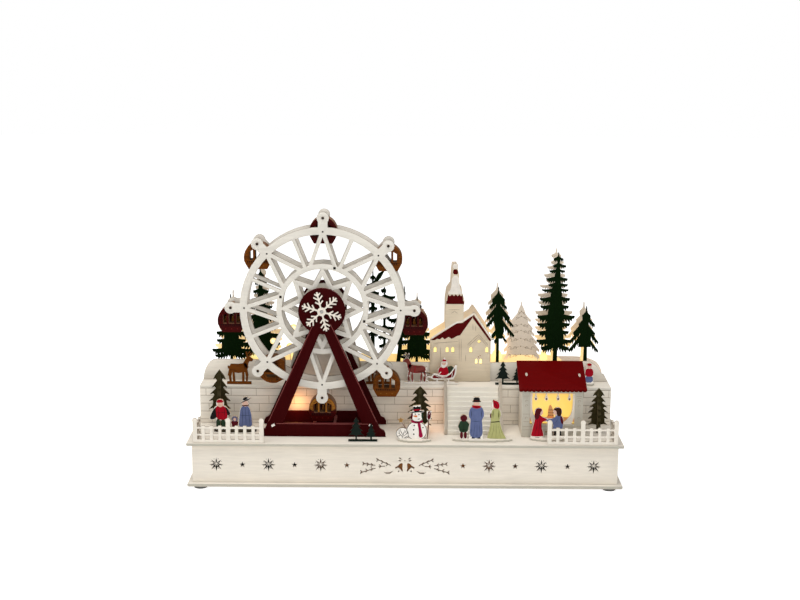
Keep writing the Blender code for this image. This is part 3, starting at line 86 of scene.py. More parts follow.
# Colours, in linear light
CREAM = (0.83, 0.765, 0.665)
CHURCH_CREAM = (0.747, 0.635, 0.472)
# Sawn edges of the cream plates: thinner, warmer paint, darkened further as painted shade
SHADED_CREAM_CUT = (0.50, 0.43, 0.345)
SNOW = (0.86, 0.82, 0.76)
BOARD_CUT = (0.575, 0.540, 0.455)
WHEEL_CREAM = (0.755, 0.715, 0.640)
# Brighter than the paint: painted light on the terrace board's front edge and on the stair steps
LIT_LEDGE_CUT = (0.86, 0.81, 0.71)
MAROON = (0.036, 0.0010, 0.0014)
MAROON_CUT = (0.110, 0.016, 0.018)
ROOF = (0.118, 0.0006, 0.0008)
CHAPEL_ROOF = (0.085, 0.0010, 0.0016)
CAR_RED = (0.050, 0.0010, 0.0008)
CAR_BROWN = (0.150, 0.040, 0.0025)
SPRUCE = (0.0020, 0.0092, 0.0010)
SLOT_BROWN = (0.030, 0.024, 0.008)
SLATE = (0.008, 0.014, 0.011)
DEER = (0.160, 0.045, 0.004)
BARE_PLY = (0.58, 0.40, 0.22)
SKIN = (0.72, 0.46, 0.36)
INK = (0.012, 0.010, 0.010)
BLACK = (0.010, 0.009, 0.009)
COAT_BLUE = (0.115, 0.145, 0.290)
BLUE_FOLD = (0.045, 0.060, 0.120)
OLIVE = (0.430, 0.430, 0.180)
OLIVE_FOLD = (0.170, 0.155, 0.045)
CRIMSON = (0.360, 0.003, 0.014)
DARK_RED = (0.090, 0.006, 0.012)
SCARF = (0.330, 0.006, 0.050)
DARK_GREEN = (0.020, 0.042, 0.022)
BROWN = (0.130, 0.035, 0.010)
DARK_BROWN = (0.040, 0.014, 0.008)
GOLD = (0.360, 0.200, 0.060)
ORANGE = (0.700, 0.170, 0.020)
BURNT = (0.34, 0.27, 0.19)
CHURCH_BURNT = (0.36, 0.27, 0.19)
TREE_BURNT = (0.40, 0.31, 0.21)
CHURCH_SNOW = (0.88, 0.82, 0.74)


# Camera, light and floor

LENS_PIXELS = 1350.0
PHOTO_WIDTH = 800.0
SENSOR = 36.0
CAMERA_PLACE = (0.0, -1.394, 0.483)
CAMERA_DOWN = radians(12.0)
CAMERA_ROLL = radians(0.286)
SIDE_PIXELS = 6.0
FLOOR_REACH = 4.0


def add_lamp(name, kind, place, power, colour):
    """A light of the given kind at its place."""
    lamp = bpy.data.lights.new(name, kind)
    lamp.energy = power
    lamp.color = colour
    holder = bpy.data.objects.new(name, lamp)
    holder.location = place
    bpy.context.scene.collection.objects.link(holder)
    return holder


def area_lamp(name, place, aim, size, power, colour):
    """A round soft light that looks at the aim."""
    holder = add_lamp(name, "AREA", place, power, colour)
    holder.data.shape = "DISK"
    holder.data.size = size
    holder.rotation_euler = (Vector(aim) - Vector(place)).to_track_quat("-Z", "Y").to_euler()


def warm_lamp(name, place, power):
    """A small warm lamp of the scene, which shines on the wall and the deck near it."""
    holder = add_lamp(name, "POINT", place, power, (1.0, 0.42, 0.11))
    holder.data.shadow_soft_size = 0.006


def build_camera():
    """The camera that was fitted to the photograph, with its small tilt and roll."""
    view = bpy.data.cameras.new("photo_view")
    view.sensor_width = SENSOR
    view.lens = LENS_PIXELS / PHOTO_WIDTH * SENSOR
    view.clip_start = 0.02
    holder = bpy.data.objects.new("photo_view", view)
    turn = Matrix.Rotation(SIDE_PIXELS / LENS_PIXELS, 4, "Z")
    tilt = Matrix.Rotation(pi / 2 - CAMERA_DOWN, 4, "X")
    roll = Matrix.Rotation(CAMERA_ROLL, 4, "Z")
    holder.matrix_world = Matrix.Translation(CAMERA_PLACE) @ turn @ tilt @ roll
    bpy.context.scene.collection.objects.link(holder)
    bpy.context.scene.camera = holder


def build_world():
    """White where the camera or glass looks, and a soft grey dome for everything else."""
    world = bpy.data.worlds.new("studio")
    world.use_nodes = True
    bpy.context.scene.world = world
    tree = world.node_tree
    tree.nodes.clear()
    out = tree.nodes.new("ShaderNodeOutputWorld")
    seen = tree.nodes.new("ShaderNodeBackground")
    dome = tree.nodes.new("ShaderNodeBackground")
    pick = tree.nodes.new("ShaderNodeMixShader")
    rays = tree.nodes.new("ShaderNodeLightPath")
    seen.inputs["Color"].default_value = (1.0, 1.0, 1.0, 1.0)
    dome.inputs["Color"].default_value = (0.94, 0.97, 1.0, 1.0)
    dome.inputs["Strength"].default_value = 0.30
    either = maths(tree, "MAXIMUM", rays.outputs["Is Camera Ray"], rays.outputs["Is Transmission Ray"])
    tree.links.new(either, pick.inputs[0])
    tree.links.new(dome.outputs[0], pick.inputs[1])
    tree.links.new(seen.outputs[0], pick.inputs[2])
    tree.links.new(pick.outputs[0], out.inputs["Surface"])


def build_floor():
    """A pale sheet that the camera sees as white, with the object's soft shadow on it."""
    mesh = bpy.data.meshes.new("floor")
    corners = [(x * FLOOR_REACH, y * FLOOR_REACH, 0.0) for x, y in ((-1, -1), (1, -1), (1, 1), (-1, 1))]
    mesh.from_pydata(corners, [], [(0, 1, 2, 3)])
    floor = bpy.data.objects.new("floor", mesh)
    bpy.context.scene.collection.objects.link(floor)
    material, tree, shader = new_material("pale_floor", 0.9)
    shader.inputs["Base Color"].default_value = (0.93, 0.93, 0.93, 1.0)
    shader.inputs["Emission Color"].default_value = (1.0, 1.0, 1.0, 1.0)
    rays = tree.nodes.new("ShaderNodeLightPath")
    lift = maths(tree, "MULTIPLY", rays.outputs["Is Camera Ray"], 0.78)
    tree.links.new(lift, shader.inputs["Emission Strength"])
    mesh.materials.append(material)


def build_studio():
    """Camera, white room and three soft lights, and the two warm lamps of the scene."""
    build_camera()
    build_world()
    build_floor()
    area_lamp("overhead_softbox", (-0.25, -0.35, 1.55), (0.0, 0.0, 0.05), 1.3, 15.5, (1.0, 0.985, 0.96))
    area_lamp("front_fill", (0.35, -1.7, 0.75), (0.0, 0.0, 0.12), 1.2, 9.0, (1.0, 0.99, 0.97))
    area_lamp("left_fill", (-1.3, -0.7, 0.55), (0.0, 0.0, 0.12), 0.9, 2.6, (1.0, 0.98, 0.95))
    warm_lamp("wall_lamp", (-0.116, -0.010, 0.074), 0.012)
    warm_lamp("deck_lamp", (0.030, -0.018, 0.066), 0.004)
    bpy.context.scene.view_settings.view_transform = "Standard"


# Shader nodes and materials

def maths(tree, operation, first, second=None, third=None, clamp=False):
    """One operation on numbers, each of them a number or a socket."""
    node = tree.nodes.new("ShaderNodeMath")
    node.operation = operation
    node.use_clamp = clamp
    for place, value in enumerate((first, second, third)):
        if isinstance(value, (int, float)):
            node.inputs[place].default_value = value
        elif value is not None:
            tree.links.new(value, node.inputs[place])
    return node.outputs[0]


def vectors(tree, operation, first, second):
    """One operation on two vectors. A dot product gives its value, any other its vector."""
    node = tree.nodes.new("ShaderNodeVectorMath")
    node.operation = operation
    tree.links.new(first, node.inputs[0])
    tree.links.new(second, node.inputs[1])
    return node.outputs["Value" if operation == "DOT_PRODUCT" else "Vector"]


def mixed(tree, share, first, second, blend="MIX"):
    """Two colours mixed or multiplied. Each of the three inputs is a number, a colour or a socket."""
    node = tree.nodes.new("ShaderNodeMix")
    node.data_type = "RGBA"
    node.blend_type = blend
    for place, value in ((0, share), (6, first), (7, second)):
        if isinstance(value, (int, float)):
            node.inputs[place].default_value = value
        elif isinstance(value, tuple):
            node.inputs[place].default_value = (*value, 1.0)
        else:
            tree.links.new(value, node.inputs[place])
    return node.outputs[2]


def noise(tree, vector, scale, detail=3.0, roughness=0.5):
    """Cloudy noise between 0 and 1, the scale in clouds for each metre."""
    node = tree.nodes.new("ShaderNodeTexNoise")
    node.inputs["Scale"].default_value = scale
    node.inputs["Detail"].default_value = detail
    node.inputs["Roughness"].default_value = roughness
    tree.links.new(vector, node.inputs["Vector"])
    return node.outputs["Fac"]


def in_object(tree, wanted="Object"):
    """The place in the object's own metres, or its normal."""
    return tree.nodes.new("ShaderNodeTexCoord").outputs[wanted]


def along(tree, axis):
    """The place along one axis of the object, in metres."""
    parts = tree.nodes.new("ShaderNodeSeparateXYZ")
    tree.links.new(in_object(tree), parts.inputs[0])
    return parts.outputs[axis]


def height_blend(tree, axis, low, high):
    """0 below low and 1 above high, along one axis of the object, in metres."""
    span = tree.nodes.new("ShaderNodeMapRange")
    span.interpolation_type = "SMOOTHSTEP"
    span.inputs["From Min"].default_value = low
    span.inputs["From Max"].default_value = high
    tree.links.new(along(tree, axis), span.inputs["Value"])
    return span.outputs["Result"]


def bumped(tree, shader, height, strength, distance):
    """The height as small bumps of the shader's surface, the distance in metres."""
    lumps = tree.nodes.new("ShaderNodeBump")
    lumps.inputs["Strength"].default_value = strength
    lumps.inputs["Distance"].default_value = distance
    tree.links.new(height, lumps.inputs["Height"])
    tree.links.new(lumps.outputs[0], shader.inputs["Normal"])


def new_material(name, rough=0.5, gloss=0.5):
    """A material with its node tree and its shader."""
    material = bpy.data.materials.new(name)
    material.use_nodes = True
    shader = material.node_tree.nodes["Principled BSDF"]
    shader.inputs["Roughness"].default_value = rough
    shader.inputs["Specular IOR Level"].default_value = gloss
    return material, material.node_tree, shader


def new_group(name, inputs, outputs):
    """A shader node group: inputs as (name, kind, value), outputs as (name, kind)."""
    group = bpy.data.node_groups.new(name, "ShaderNodeTree")
    for label, kind, value in inputs:
        made = group.interface.new_socket(label, in_out="INPUT", socket_type=kind)
        made.default_value = value
    for label, kind in outputs:
        group.interface.new_socket(label, in_out="OUTPUT", socket_type=kind)
    return group, group.nodes.new("NodeGroupInput").outputs, group.nodes.new("NodeGroupOutput").inputs


@cache
def painted_ply():
    """Paint over sawn plate. Faces take the paint with faint grain and blotches, and the sawn edges, which
    the surface's own normal tells from the faces, take the thinner and warmer cut colour with the lines of
    the plies. On the cream plates that cut colour is also darkened as painted shade."""
    group, into, out = new_group(
        "painted_ply",
        [("Paint", "NodeSocketColor", (1, 1, 1, 1)), ("Cut", "NodeSocketColor", (1, 1, 1, 1)),
         ("Face Axis", "NodeSocketVector", (0, 1, 0)), ("Grain", "NodeSocketFloat", 0.25),
         ("Grain Scale", "NodeSocketVector", (1, 1, 1)), ("Roughness", "NodeSocketFloat", 0.5)],
        [("Color", "NodeSocketColor"), ("Roughness", "NodeSocketFloat"), ("Height", "NodeSocketFloat")])
    facing = vectors(group, "DOT_PRODUCT", in_object(group, "Normal"), into["Face Axis"])
    cut = maths(group, "MULTIPLY_ADD", maths(group, "ABSOLUTE", facing), -2.2, 1.75, clamp=True)
    fibre = noise(group, vectors(group, "MULTIPLY", in_object(group), into["Grain Scale"]), 420.0, 4.0, 0.62)
    blotch = noise(group, in_object(group), 38.0)
    depth = vectors(group, "DOT_PRODUCT", in_object(group), into["Face Axis"])
    plies = maths(group, "SINE", maths(group, "MULTIPLY", depth, 6283.0))
    plies = maths(group, "MULTIPLY_ADD", plies, 0.10, 0.90)
    tone = maths(group, "MULTIPLY", maths(group, "SUBTRACT", fibre, 0.5), into["Grain"])
    tone = maths(group, "ADD", tone, maths(group, "MULTIPLY_ADD", blotch, 0.10, 0.95))
    face = mixed(group, 1.0, into["Paint"], tone, "MULTIPLY")
    edge = mixed(group, 1.0, into["Cut"], plies, "MULTIPLY")
    group.links.new(mixed(group, cut, face, edge), out["Color"])
    rough = maths(group, "MULTIPLY_ADD", fibre, 0.16, -0.08)
    group.links.new(maths(group, "ADD", rough, into["Roughness"], clamp=True), out["Roughness"])
    group.links.new(maths(group, "MULTIPLY", fibre, into["Grain"]), out["Height"])
    return group


FACES = {"Y": (0.0, 1.0, 0.0), "X": (1.0, 0.0, 0.0), "Z": (0.0, 0.0, 1.0)}
GRAIN = {"along_x": (0.10, 1.0, 1.0), "along_z": (1.0, 1.0, 0.10), "along_y": (1.0, 0.10, 1.0)}


@cache
def painted(name, paint, cut, rough=0.48, face="Y", grain=0.25, run="along_x", gloss=0.16, shade=None):
    """A painted or stained plate, with its faces square to the given axis. With shade, which is two
    heights and a factor, the paint is darker toward the lower height: painted shade."""
    material, tree, shader = new_material(name, rough, gloss)
    group = tree.nodes.new("ShaderNodeGroup")
    group.node_tree = painted_ply()
    group.inputs["Paint"].default_value = (*paint, 1.0)
    group.inputs["Cut"].default_value = (*cut, 1.0)
    group.inputs["Face Axis"].default_value = FACES[face]
    group.inputs["Grain"].default_value = grain
    group.inputs["Grain Scale"].default_value = GRAIN[run]
    group.inputs["Roughness"].default_value = rough
    colour = group.outputs["Color"]
    if shade:
        low, high, dark = shade
        tone = maths(tree, "MULTIPLY_ADD", height_blend(tree, "Z", low, high), 1.0 - dark, dark)
        colour = mixed(tree, 1.0, colour, tone, "MULTIPLY")
    tree.links.new(colour, shader.inputs["Base Color"])
    tree.links.new(group.outputs["Roughness"], shader.inputs["Roughness"])
    bumped(tree, shader, group.outputs["Height"], 0.12, 0.0004)
    return material


@cache
def hand_painted():
    """Brushed colour from the attribute "paint", with fine streaks up and down and slow changes of
    tone."""
    material, tree, shader = new_material("hand_paint", 0.6, 0.06)
    group, into, out = new_group("brush_strokes", [("Paint", "NodeSocketColor", (1, 1, 1, 1))],
                                 [("Color", "NodeSocketColor"), ("Height", "NodeSocketFloat")])
    drawn = group.nodes.new("ShaderNodeMapping")
    drawn.inputs["Scale"].default_value = (1.0, 1.0, 0.22)
    group.links.new(in_object(group), drawn.inputs["Vector"])
    streak = noise(group, drawn.outputs[0], 1500.0, 3.0, 0.6)
    slow = maths(group, "MULTIPLY", noise(group, in_object(group), 210.0, 2.0), 0.34)
    tone = maths(group, "ADD", maths(group, "MULTIPLY_ADD", streak, 0.34, 0.66), slow)
    group.links.new(mixed(group, 1.0, into["Paint"], tone, "MULTIPLY"), out["Color"])
    group.links.new(streak, out["Height"])
    brush = tree.nodes.new("ShaderNodeGroup")
    brush.node_tree = group
    colour = tree.nodes.new("ShaderNodeAttribute")
    colour.attribute_name = "paint"
    tree.links.new(colour.outputs["Color"], brush.inputs["Paint"])
    tree.links.new(brush.outputs["Color"], shader.inputs["Base Color"])
    bumped(tree, shader, brush.outputs["Height"], 0.2, 0.0001)
    return material


@cache
def lit(name, base, low_glow, high_glow, low, high, low_power, high_power, axis="Z", foot=None):
    """A surface that a hidden lamp lights: base colour plus a glow that changes along one axis. Below the
    two heights of foot it fades out, which is the part that stands behind the wall."""
    material, tree, shader = new_material(name, 0.55, 0.2)
    share = height_blend(tree, axis, low, high)
    grain = noise(tree, in_object(tree), 900.0, 3.0, 0.6)
    tone = mixed(tree, 1.0, base, maths(tree, "MULTIPLY_ADD", grain, 0.3, 0.82), "MULTIPLY")
    power = maths(tree, "MULTIPLY_ADD", share, high_power - low_power, low_power)
    power = maths(tree, "MULTIPLY", power, maths(tree, "MULTIPLY_ADD", grain, 0.36, 0.82))
    if foot:
        power = maths(tree, "MULTIPLY", power, height_blend(tree, "Z", *foot))
    tree.links.new(tone, shader.inputs["Base Color"])
    tree.links.new(mixed(tree, share, low_glow, high_glow), shader.inputs["Emission Color"])
    tree.links.new(power, shader.inputs["Emission Strength"])
    return material


@cache
def plain(name, colour, rough, metal, scale):
    """Moulded or turned material with fine uneven gloss."""
    material, tree, shader = new_material(name)
    grain = noise(tree, in_object(tree), scale, 4.0, 0.6)
    tone = mixed(tree, 1.0, colour, maths(tree, "MULTIPLY_ADD", grain, 0.24, 0.88), "MULTIPLY")
    tree.links.new(tone, shader.inputs["Base Color"])
    tree.links.new(maths(tree, "MULTIPLY_ADD", grain, 0.2, rough - 0.1), shader.inputs["Roughness"])
    shader.inputs["Metallic"].default_value = metal
    return material


def panel_glow_sheet():
    """The inside of the base behind the front panel as painted lamp light and painted shade: warm about the
    middle, where the lamps reach it, and dark toward the ends.
    """
    material, tree, shader = new_material("panel_glow_sheet", 0.8)
    away = maths(tree, "ABSOLUTE", maths(tree, "ADD", along(tree, "X"), -0.012))
    share = maths(tree, "MULTIPLY_ADD", away, -14.0, 1.75, clamp=True)
    cloud = maths(tree, "MULTIPLY_ADD", noise(tree, in_object(tree), 260.0, 2.0), 0.5, 0.7)
    share = maths(tree, "MULTIPLY", share, cloud, clamp=True)
    tone = mixed(tree, share, (0.006, 0.005, 0.005), (0.17, 0.065, 0.018))
    tree.links.new(tone, shader.inputs["Base Color"])
    tree.links.new(mixed(tree, share, (0.0, 0.0, 0.0), (0.20, 0.07, 0.015)), shader.inputs["Emission Color"])
    shader.inputs["Emission Strength"].default_value = 0.35
    return material


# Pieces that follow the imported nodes

def softened(node, width, material, foot=None, foot_paint=None):
    """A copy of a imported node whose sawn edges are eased, as sanding and paint leave them. Below the
    height foot, the copy has the foot's own paint."""
    mesh = bmesh.new()
    mesh.from_mesh(frame["nodes"][node].data)
    bmesh.ops.remove_doubles(mesh, verts=mesh.verts[:], dist=1e-6)
    bmesh.ops.dissolve_limit(mesh, angle_limit=radians(0.6), verts=mesh.verts[:], edges=mesh.edges[:])
    data = bpy.data.meshes.new(node + "_finish")
    mesh.to_mesh(data)
    mesh.free()
    made = bpy.data.objects.new(node + "_finish", data)
    bpy.context.scene.collection.objects.link(made)
    ease = made.modifiers.new("ease", "BEVEL")
    ease.width = width
    ease.segments = 2
    ease.limit_method = "ANGLE"
    ease.angle_limit = radians(32.0)
    ease.use_clamp_overlap = True
    done = bpy.data.meshes.new_from_object(made.evaluated_get(bpy.context.evaluated_depsgraph_get()))
    made.modifiers.clear()
    made.data = done
    done.materials.clear()
    done.materials.append(material)
    if foot:
        done.materials.append(foot_paint or painted("cream_board", CREAM, BOARD_CUT, face="Z"))
        low = [int(face.center.z < foot) for face in done.polygons]
        done.polygons.foreach_set("material_index", low)
    done.shade_smooth()
    done.set_sharp_from_angle(angle=radians(50.0))
    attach(made, BODY_OF[node])
    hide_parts(node)


def finish_plates():
    """Every wooden plate with its paint, by the way it faces."""
    board = painted("cream_board", CREAM, BOARD_CUT, face="Z")
    panel = painted("cream_panel", CREAM, SHADED_CREAM_CUT)
    side = painted("cream_side", CREAM, SHADED_CREAM_CUT, face="X", run="along_y")
    # The hill and the church get painted shade, darker toward their foot on the terrace
    scene = painted("cream_scene", CREAM, SHADED_CREAM_CUT, shade=(0.0922, 0.1120, 0.74))
    church = painted("cream_church", CHURCH_CREAM, SHADED_CREAM_CUT, shade=(0.0922, 0.1120, 0.76))
    disc = painted("cream_wheel", WHEEL_CREAM, SHADED_CREAM_CUT)
    stall = painted("cream_stall", CREAM, BOARD_CUT, face="X", run="along_z")
    maroon = painted("maroon_plate", MAROON, MAROON_CUT, 0.45, grain=0.4, run="along_z", gloss=0.03)
    slot_tree = painted("slot_tree_plate", SLOT_BROWN, (0.14, 0.11, 0.06), 0.6, grain=1.3, gloss=0.05)
    slate = painted("slate_plate", SLATE, (0.03, 0.03, 0.02), 0.55, grain=0.6, gloss=0.05)
    deer = painted("deer_plate", DEER, (0.07, 0.02, 0.004), 0.5, grain=1.0, gloss=0.06)
    dark_foot = painted("dark_foot", (0.045, 0.035, 0.022), (0.05, 0.04, 0.025), 0.5, "Z", gloss=0.05)
    red_car = painted("car_red", CAR_RED, (0.300, 0.160, 0.090), 0.45, grain=1.1, gloss=0.06)
    brown_car = painted("car_brown", CAR_BROWN, (0.200, 0.080, 0.024), 0.45, grain=1.1, gloss=0.06)
    figure = painted("figure_ply", SNOW, BARE_PLY, 0.5)
    rows = [
        (0.0006, board, "deck_board bottom_board"),
        # The terrace edge and the stair treads and risers take a colour brighter than the paint, as painted light
        (0.0006, painted("cream_ledge", CREAM, LIT_LEDGE_CUT, face="Z"), "terrace_board"),
        (0.0002, painted("cream_stairs", CREAM, LIT_LEDGE_CUT, face="X"), "stair_flight"),
        (0.0003, panel, "front_panel rear_panel terrace_wall snowflake fence_left fence_right"),
        (0.0003, scene, "hill"), (0.0003, church, "church"), (0.0003, stall, "stall_body"),
        (0.0003, side, "left_panel right_panel terrace_end_left terrace_end_right"),
        (0.0003, side, "stair_rail_left stair_rail_right"),
        (0.0003, disc, "wheel_front wheel_rear drive_housing"),
        (0.0004, maroon, "frame_front frame_rear"),
        (0.0004, painted("stall_red", ROOF, ROOF, 0.45, "Z", 0.45, gloss=0.03), "stall_roof"),
        (0.0003, red_car, "gondola_1 gondola_3 gondola_5 gondola_7"),
        (0.0003, brown_car, "gondola_2 gondola_4 gondola_6 gondola_8"),
        (0.0002, slot_tree, "slot_tree_left slot_tree_middle slot_tree_right"),
        (0.0002, slate, "twin_trees_front twin_trees_terrace"),
        (0.0002, deer, "deer_left deer_right"),
    ]
    for width, paint, nodes in rows:
        for node in nodes.split():
            softened(node, width, paint)
    softened("family_left", 0.0002, figure, DECK + FOOT_PLATE, dark_foot)
    for node in ("snowman", "family_centre", "couple_right"):
        softened(node, 0.0002, figure, DECK + FOOT_PLATE)
    for node in ("sleigh_group", "visitor"):
        softened(node, 0.0002, figure, TERRACE + FOOT_PLATE)


def finish_hardware():
    """Feet, battery box, switch, axle, motor and lamp strip."""
    silver = plain("silver_foot", (0.13, 0.13, 0.125), 0.36, 0.3, 700.0)
    black = plain("black_plastic", (0.014, 0.014, 0.015), 0.42, 0.0, 1400.0)
    steel = plain("bare_steel", (0.50, 0.48, 0.45), 0.30, 1.0, 900.0)
    strip = lit("led_strip_light", (0.95, 0.85, 0.6), (0.9, 0.6, 0.2), (1.0, 0.85, 0.4), 0.100, 0.108,
                0.2, 1.2)
    for side in ("front_left", "front_right", "rear_left", "rear_right"):
        softened(f"foot_{side}", 0.0005, silver)
    for node in ("battery_case", "battery_lid", "switch_slider"):
        softened(node, 0.0003, black)
    for node in ("axle", "gear_motor"):
        softened(node, 0.0001, steel)
    softened("led_strip", 0.0002, strip)


# Paint films. Outlines are drawn in millimetres, x to the right and z up, as seen from the front.

def rounded(outline, passes=2):
    """Cut corners: each pass puts two points on every side, at a quarter and at three quarters of its
    length."""
    points = np.asarray(outline, dtype=float)
    for _ in range(passes):
        following = np.roll(points, -1, axis=0)
        points = np.stack((0.75 * points + 0.25 * following, 0.25 * points + 0.75 * following), axis=1)
        points = points.reshape(-1, 2)
    return points


def ring(x, z, across, up=None, count=28):
    """The closed line x + across * cos t, z + up * sin t, for t once round."""
    t = np.linspace(0, tau, count, endpoint=False)
    return np.stack((x + across * np.cos(t), z + (up or across) * np.sin(t)), axis=1)


def rays(x, z, outer, inner, count):
    """A star: the radius swings between outer and inner once for each of its points."""
    turn = np.arange(2 * count)
    t = turn * pi / count + pi / 2
    r = np.where(turn % 2 == 0, outer, inner)
    return np.stack((x + r * np.cos(t), z + r * np.sin(t)), axis=1)


def rect(x0, z0, x1, z1):
    """The four corners of an upright rectangle."""
    return np.array(((x0, z0), (x1, z0), (x1, z1), (x0, z1)), dtype=float)


def stroke(points, width, taper=0.6):
    """A brush stroke: each point of the line moved by half the width to both sides along the line's
    normal, the width falling off with the square of the way from the middle to the ends."""
    line = np.asarray(points, dtype=float)
    if len(line) < 5:
        way = np.concatenate(((0,), np.cumsum(np.linalg.norm(np.diff(line, axis=0), axis=1))))
        even = np.linspace(0, way[-1], 7)
        line = np.stack([np.interp(even, way, line[:, axis]) for axis in (0, 1)], axis=1)
    along = np.gradient(line, axis=0)
    along /= np.linalg.norm(along, axis=1)[:, None]
    side = np.stack((-along[:, 1], along[:, 0]), axis=1)
    share = np.linspace(-1, 1, len(line))
    half = (width / 2 * (1 - taper * share ** 2))[:, None]
    return np.concatenate((line + side * half, (line - side * half)[::-1]))


def folds(lines, width):
    """A brush stroke along each line."""
    return [stroke(line, width) for line in lines]


def curl(x, z, radius, side=1, end=4.4, fade=6, width=0.4):
    """A burnt curl: a brush stroke along the spiral x + side * r * cos t, z + r * sin t, where r falls
    from the radius as 1 - t / fade and t runs from 0 to the end."""
    t = np.linspace(0, end, 12)
    r = radius * (1 - t / fade)
    return stroke(np.stack((x + side * r * np.cos(t), z + r * np.sin(t)), axis=1), width, 0.3)


def turned(angle):
    """The matrix that turns rows of points by the angle, clockwise as seen from the front."""
    return np.array(((cos(angle), sin(angle)), (-sin(angle), cos(angle))))


def round_place(radius, angle):
    """The point at the angle on a circle about zero."""
    return radius * cos(angle), radius * sin(angle)


def as_list(outlines):
    """The outlines of one colour, of which a drawing may give a single one without a list."""
    several = isinstance(outlines, list) and np.ndim(outlines[0]) == 2
    return [np.asarray(outline, dtype=float) for outline in (outlines if several else [outlines])]


def swept(outline, profile):
    """A profile carried along a closed outline. Each ring of the profile is how far it is drawn in along
    the outline's inward normal, and its depth. Quads join each ring to the next one. The points come back
    as flat places and depths, with the quads and the flat faces that can close the last ring and the
    first."""
    line = np.asarray(outline, dtype=float)
    following = np.roll(line, -1, axis=0)
    if np.sum(line[:, 0] * following[:, 1] - following[:, 0] * line[:, 1]) < 0:
        line = line[::-1]
    chord = np.roll(line, -1, axis=0) - np.roll(line, 1, axis=0)
    chord /= np.maximum(np.linalg.norm(chord, axis=1), 1e-9)[:, None]
    inward = np.stack((-chord[:, 1], chord[:, 0]), axis=1)
    insets, depths = np.array(profile, dtype=float).T
    count = len(line)
    flat = (line + insets[:, None, None] * inward).reshape(-1, 2)
    here = np.arange(count)
    after = (here + 1) % count
    row = np.arange(len(profile) - 1)[:, None] * count
    quads = np.stack((row + here, row + after, row + count + after, row + count + here), axis=2)
    last = here + (len(profile) - 1) * count
    return flat, np.repeat(depths, count), quads.reshape(-1, 4), last, here[::-1]


def new_piece(name, node, parts, material):
    """One mesh from parts of points, quads and closing faces, which rides with the body of the node."""
    faces = []
    start = 0
    for points, quads, *ends in parts:
        faces += (quads + start).tolist() + [(end + start).tolist() for end in ends]
        start += len(points)
    mesh = bpy.data.meshes.new(name)
    mesh.from_pydata(np.concatenate([part[0] for part in parts]).tolist(), [], faces)
    mesh.materials.append(material)
    made = bpy.data.objects.new(name, mesh)
    bpy.context.scene.collection.objects.link(made)
    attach(made, BODY_OF[node])
    return made


def paint_on(name, node, drawing, front, spot=(0, 0), unit=MM, low=None, thick=None, ground=0.05, step=0.022,
             soft=0.03):
    """Films of paint in one piece. A film is its outline with three rings: on the wood, at 0.6 of its
    lift, and at the lift drawn in by the soft width. Each next colour of the drawing lies one step higher.
    They start at the front, and with thick the same ones lie on the back. Below low nothing is painted.
    The colour of each is the point attribute "paint"."""
    parts, colours = [], []
    for level, (colour, outlines) in enumerate(drawing):
        lift = ground + step * level
        for outline in as_list(outlines):
            if low is not None:
                outline = np.stack((outline[:, 0], np.maximum(outline[:, 1], low)), axis=1)
            flat, depth, quads, end, _ = swept(outline, ((0, 0), (0, 0.6 * lift), (soft, lift)))
            x, z = flat[:, 0] * unit + spot[0], flat[:, 1] * unit + spot[1]
            parts.append((np.stack((x, front - depth * MM, z), axis=1), quads, end))
            if thick:
                rear = np.stack((x, front + thick + depth * MM, z), axis=1)
                parts.append((rear, quads[:, ::-1], end[::-1]))
            colours.append(np.tile((*colour, 1), (len(flat) * (2 if thick else 1), 1)))
    made = new_piece(name, node, parts, hand_painted())
    store = made.data.attributes.new("paint", "FLOAT_COLOR", "POINT")
    store.data.foreach_set("color", np.concatenate(colours).ravel())


def sawn(name, node, outlines, plate, material, soft=0.12, spot=(0, 0), stagger=0):
    """Plates in one piece, all of one paint, riding with the body of the given node. A plate is its
    outline with four rings, drawn in by the soft width at its near and far face. With stagger, each next
    plate is that much thicker to both sides, so that faces which overlap never share a plane."""
    near, far = plate
    parts = []
    for outline in outlines:
        rings = ((soft, far), (0, far - soft), (0, near + soft), (soft, near))
        flat, depth, quads, *ends = swept(outline, rings)
        points = np.stack((flat[:, 0] * MM + spot[0], depth * MM, flat[:, 1] * MM + spot[1]), axis=1)
        parts.append((points, quads, *ends))
        near, far = near - stagger, far + stagger
    return new_piece(name, node, parts, material)


# Painted figures

# Heights in millimetres under which a figure has no paint, because its foot plate is there
STAND = 2.12
HOOFS = 2.8
RUNNERS = 2.3
COUPLE_SIZE = 1.03
DEER_DARK = (0.055, 0.015, 0.003)
RED_DEER = (0.230, 0.050, 0.040)
RED_DEER_DARK = (0.060, 0.010, 0.010)


def place_in(drawing, factor=1, dx=0, flip=1):
    """A drawing at another size, moved sideways or mirrored."""
    return [(colour, [outline * (factor * flip, factor) + (dx, 0) for outline in as_list(outlines)])
            for colour, outlines in drawing]


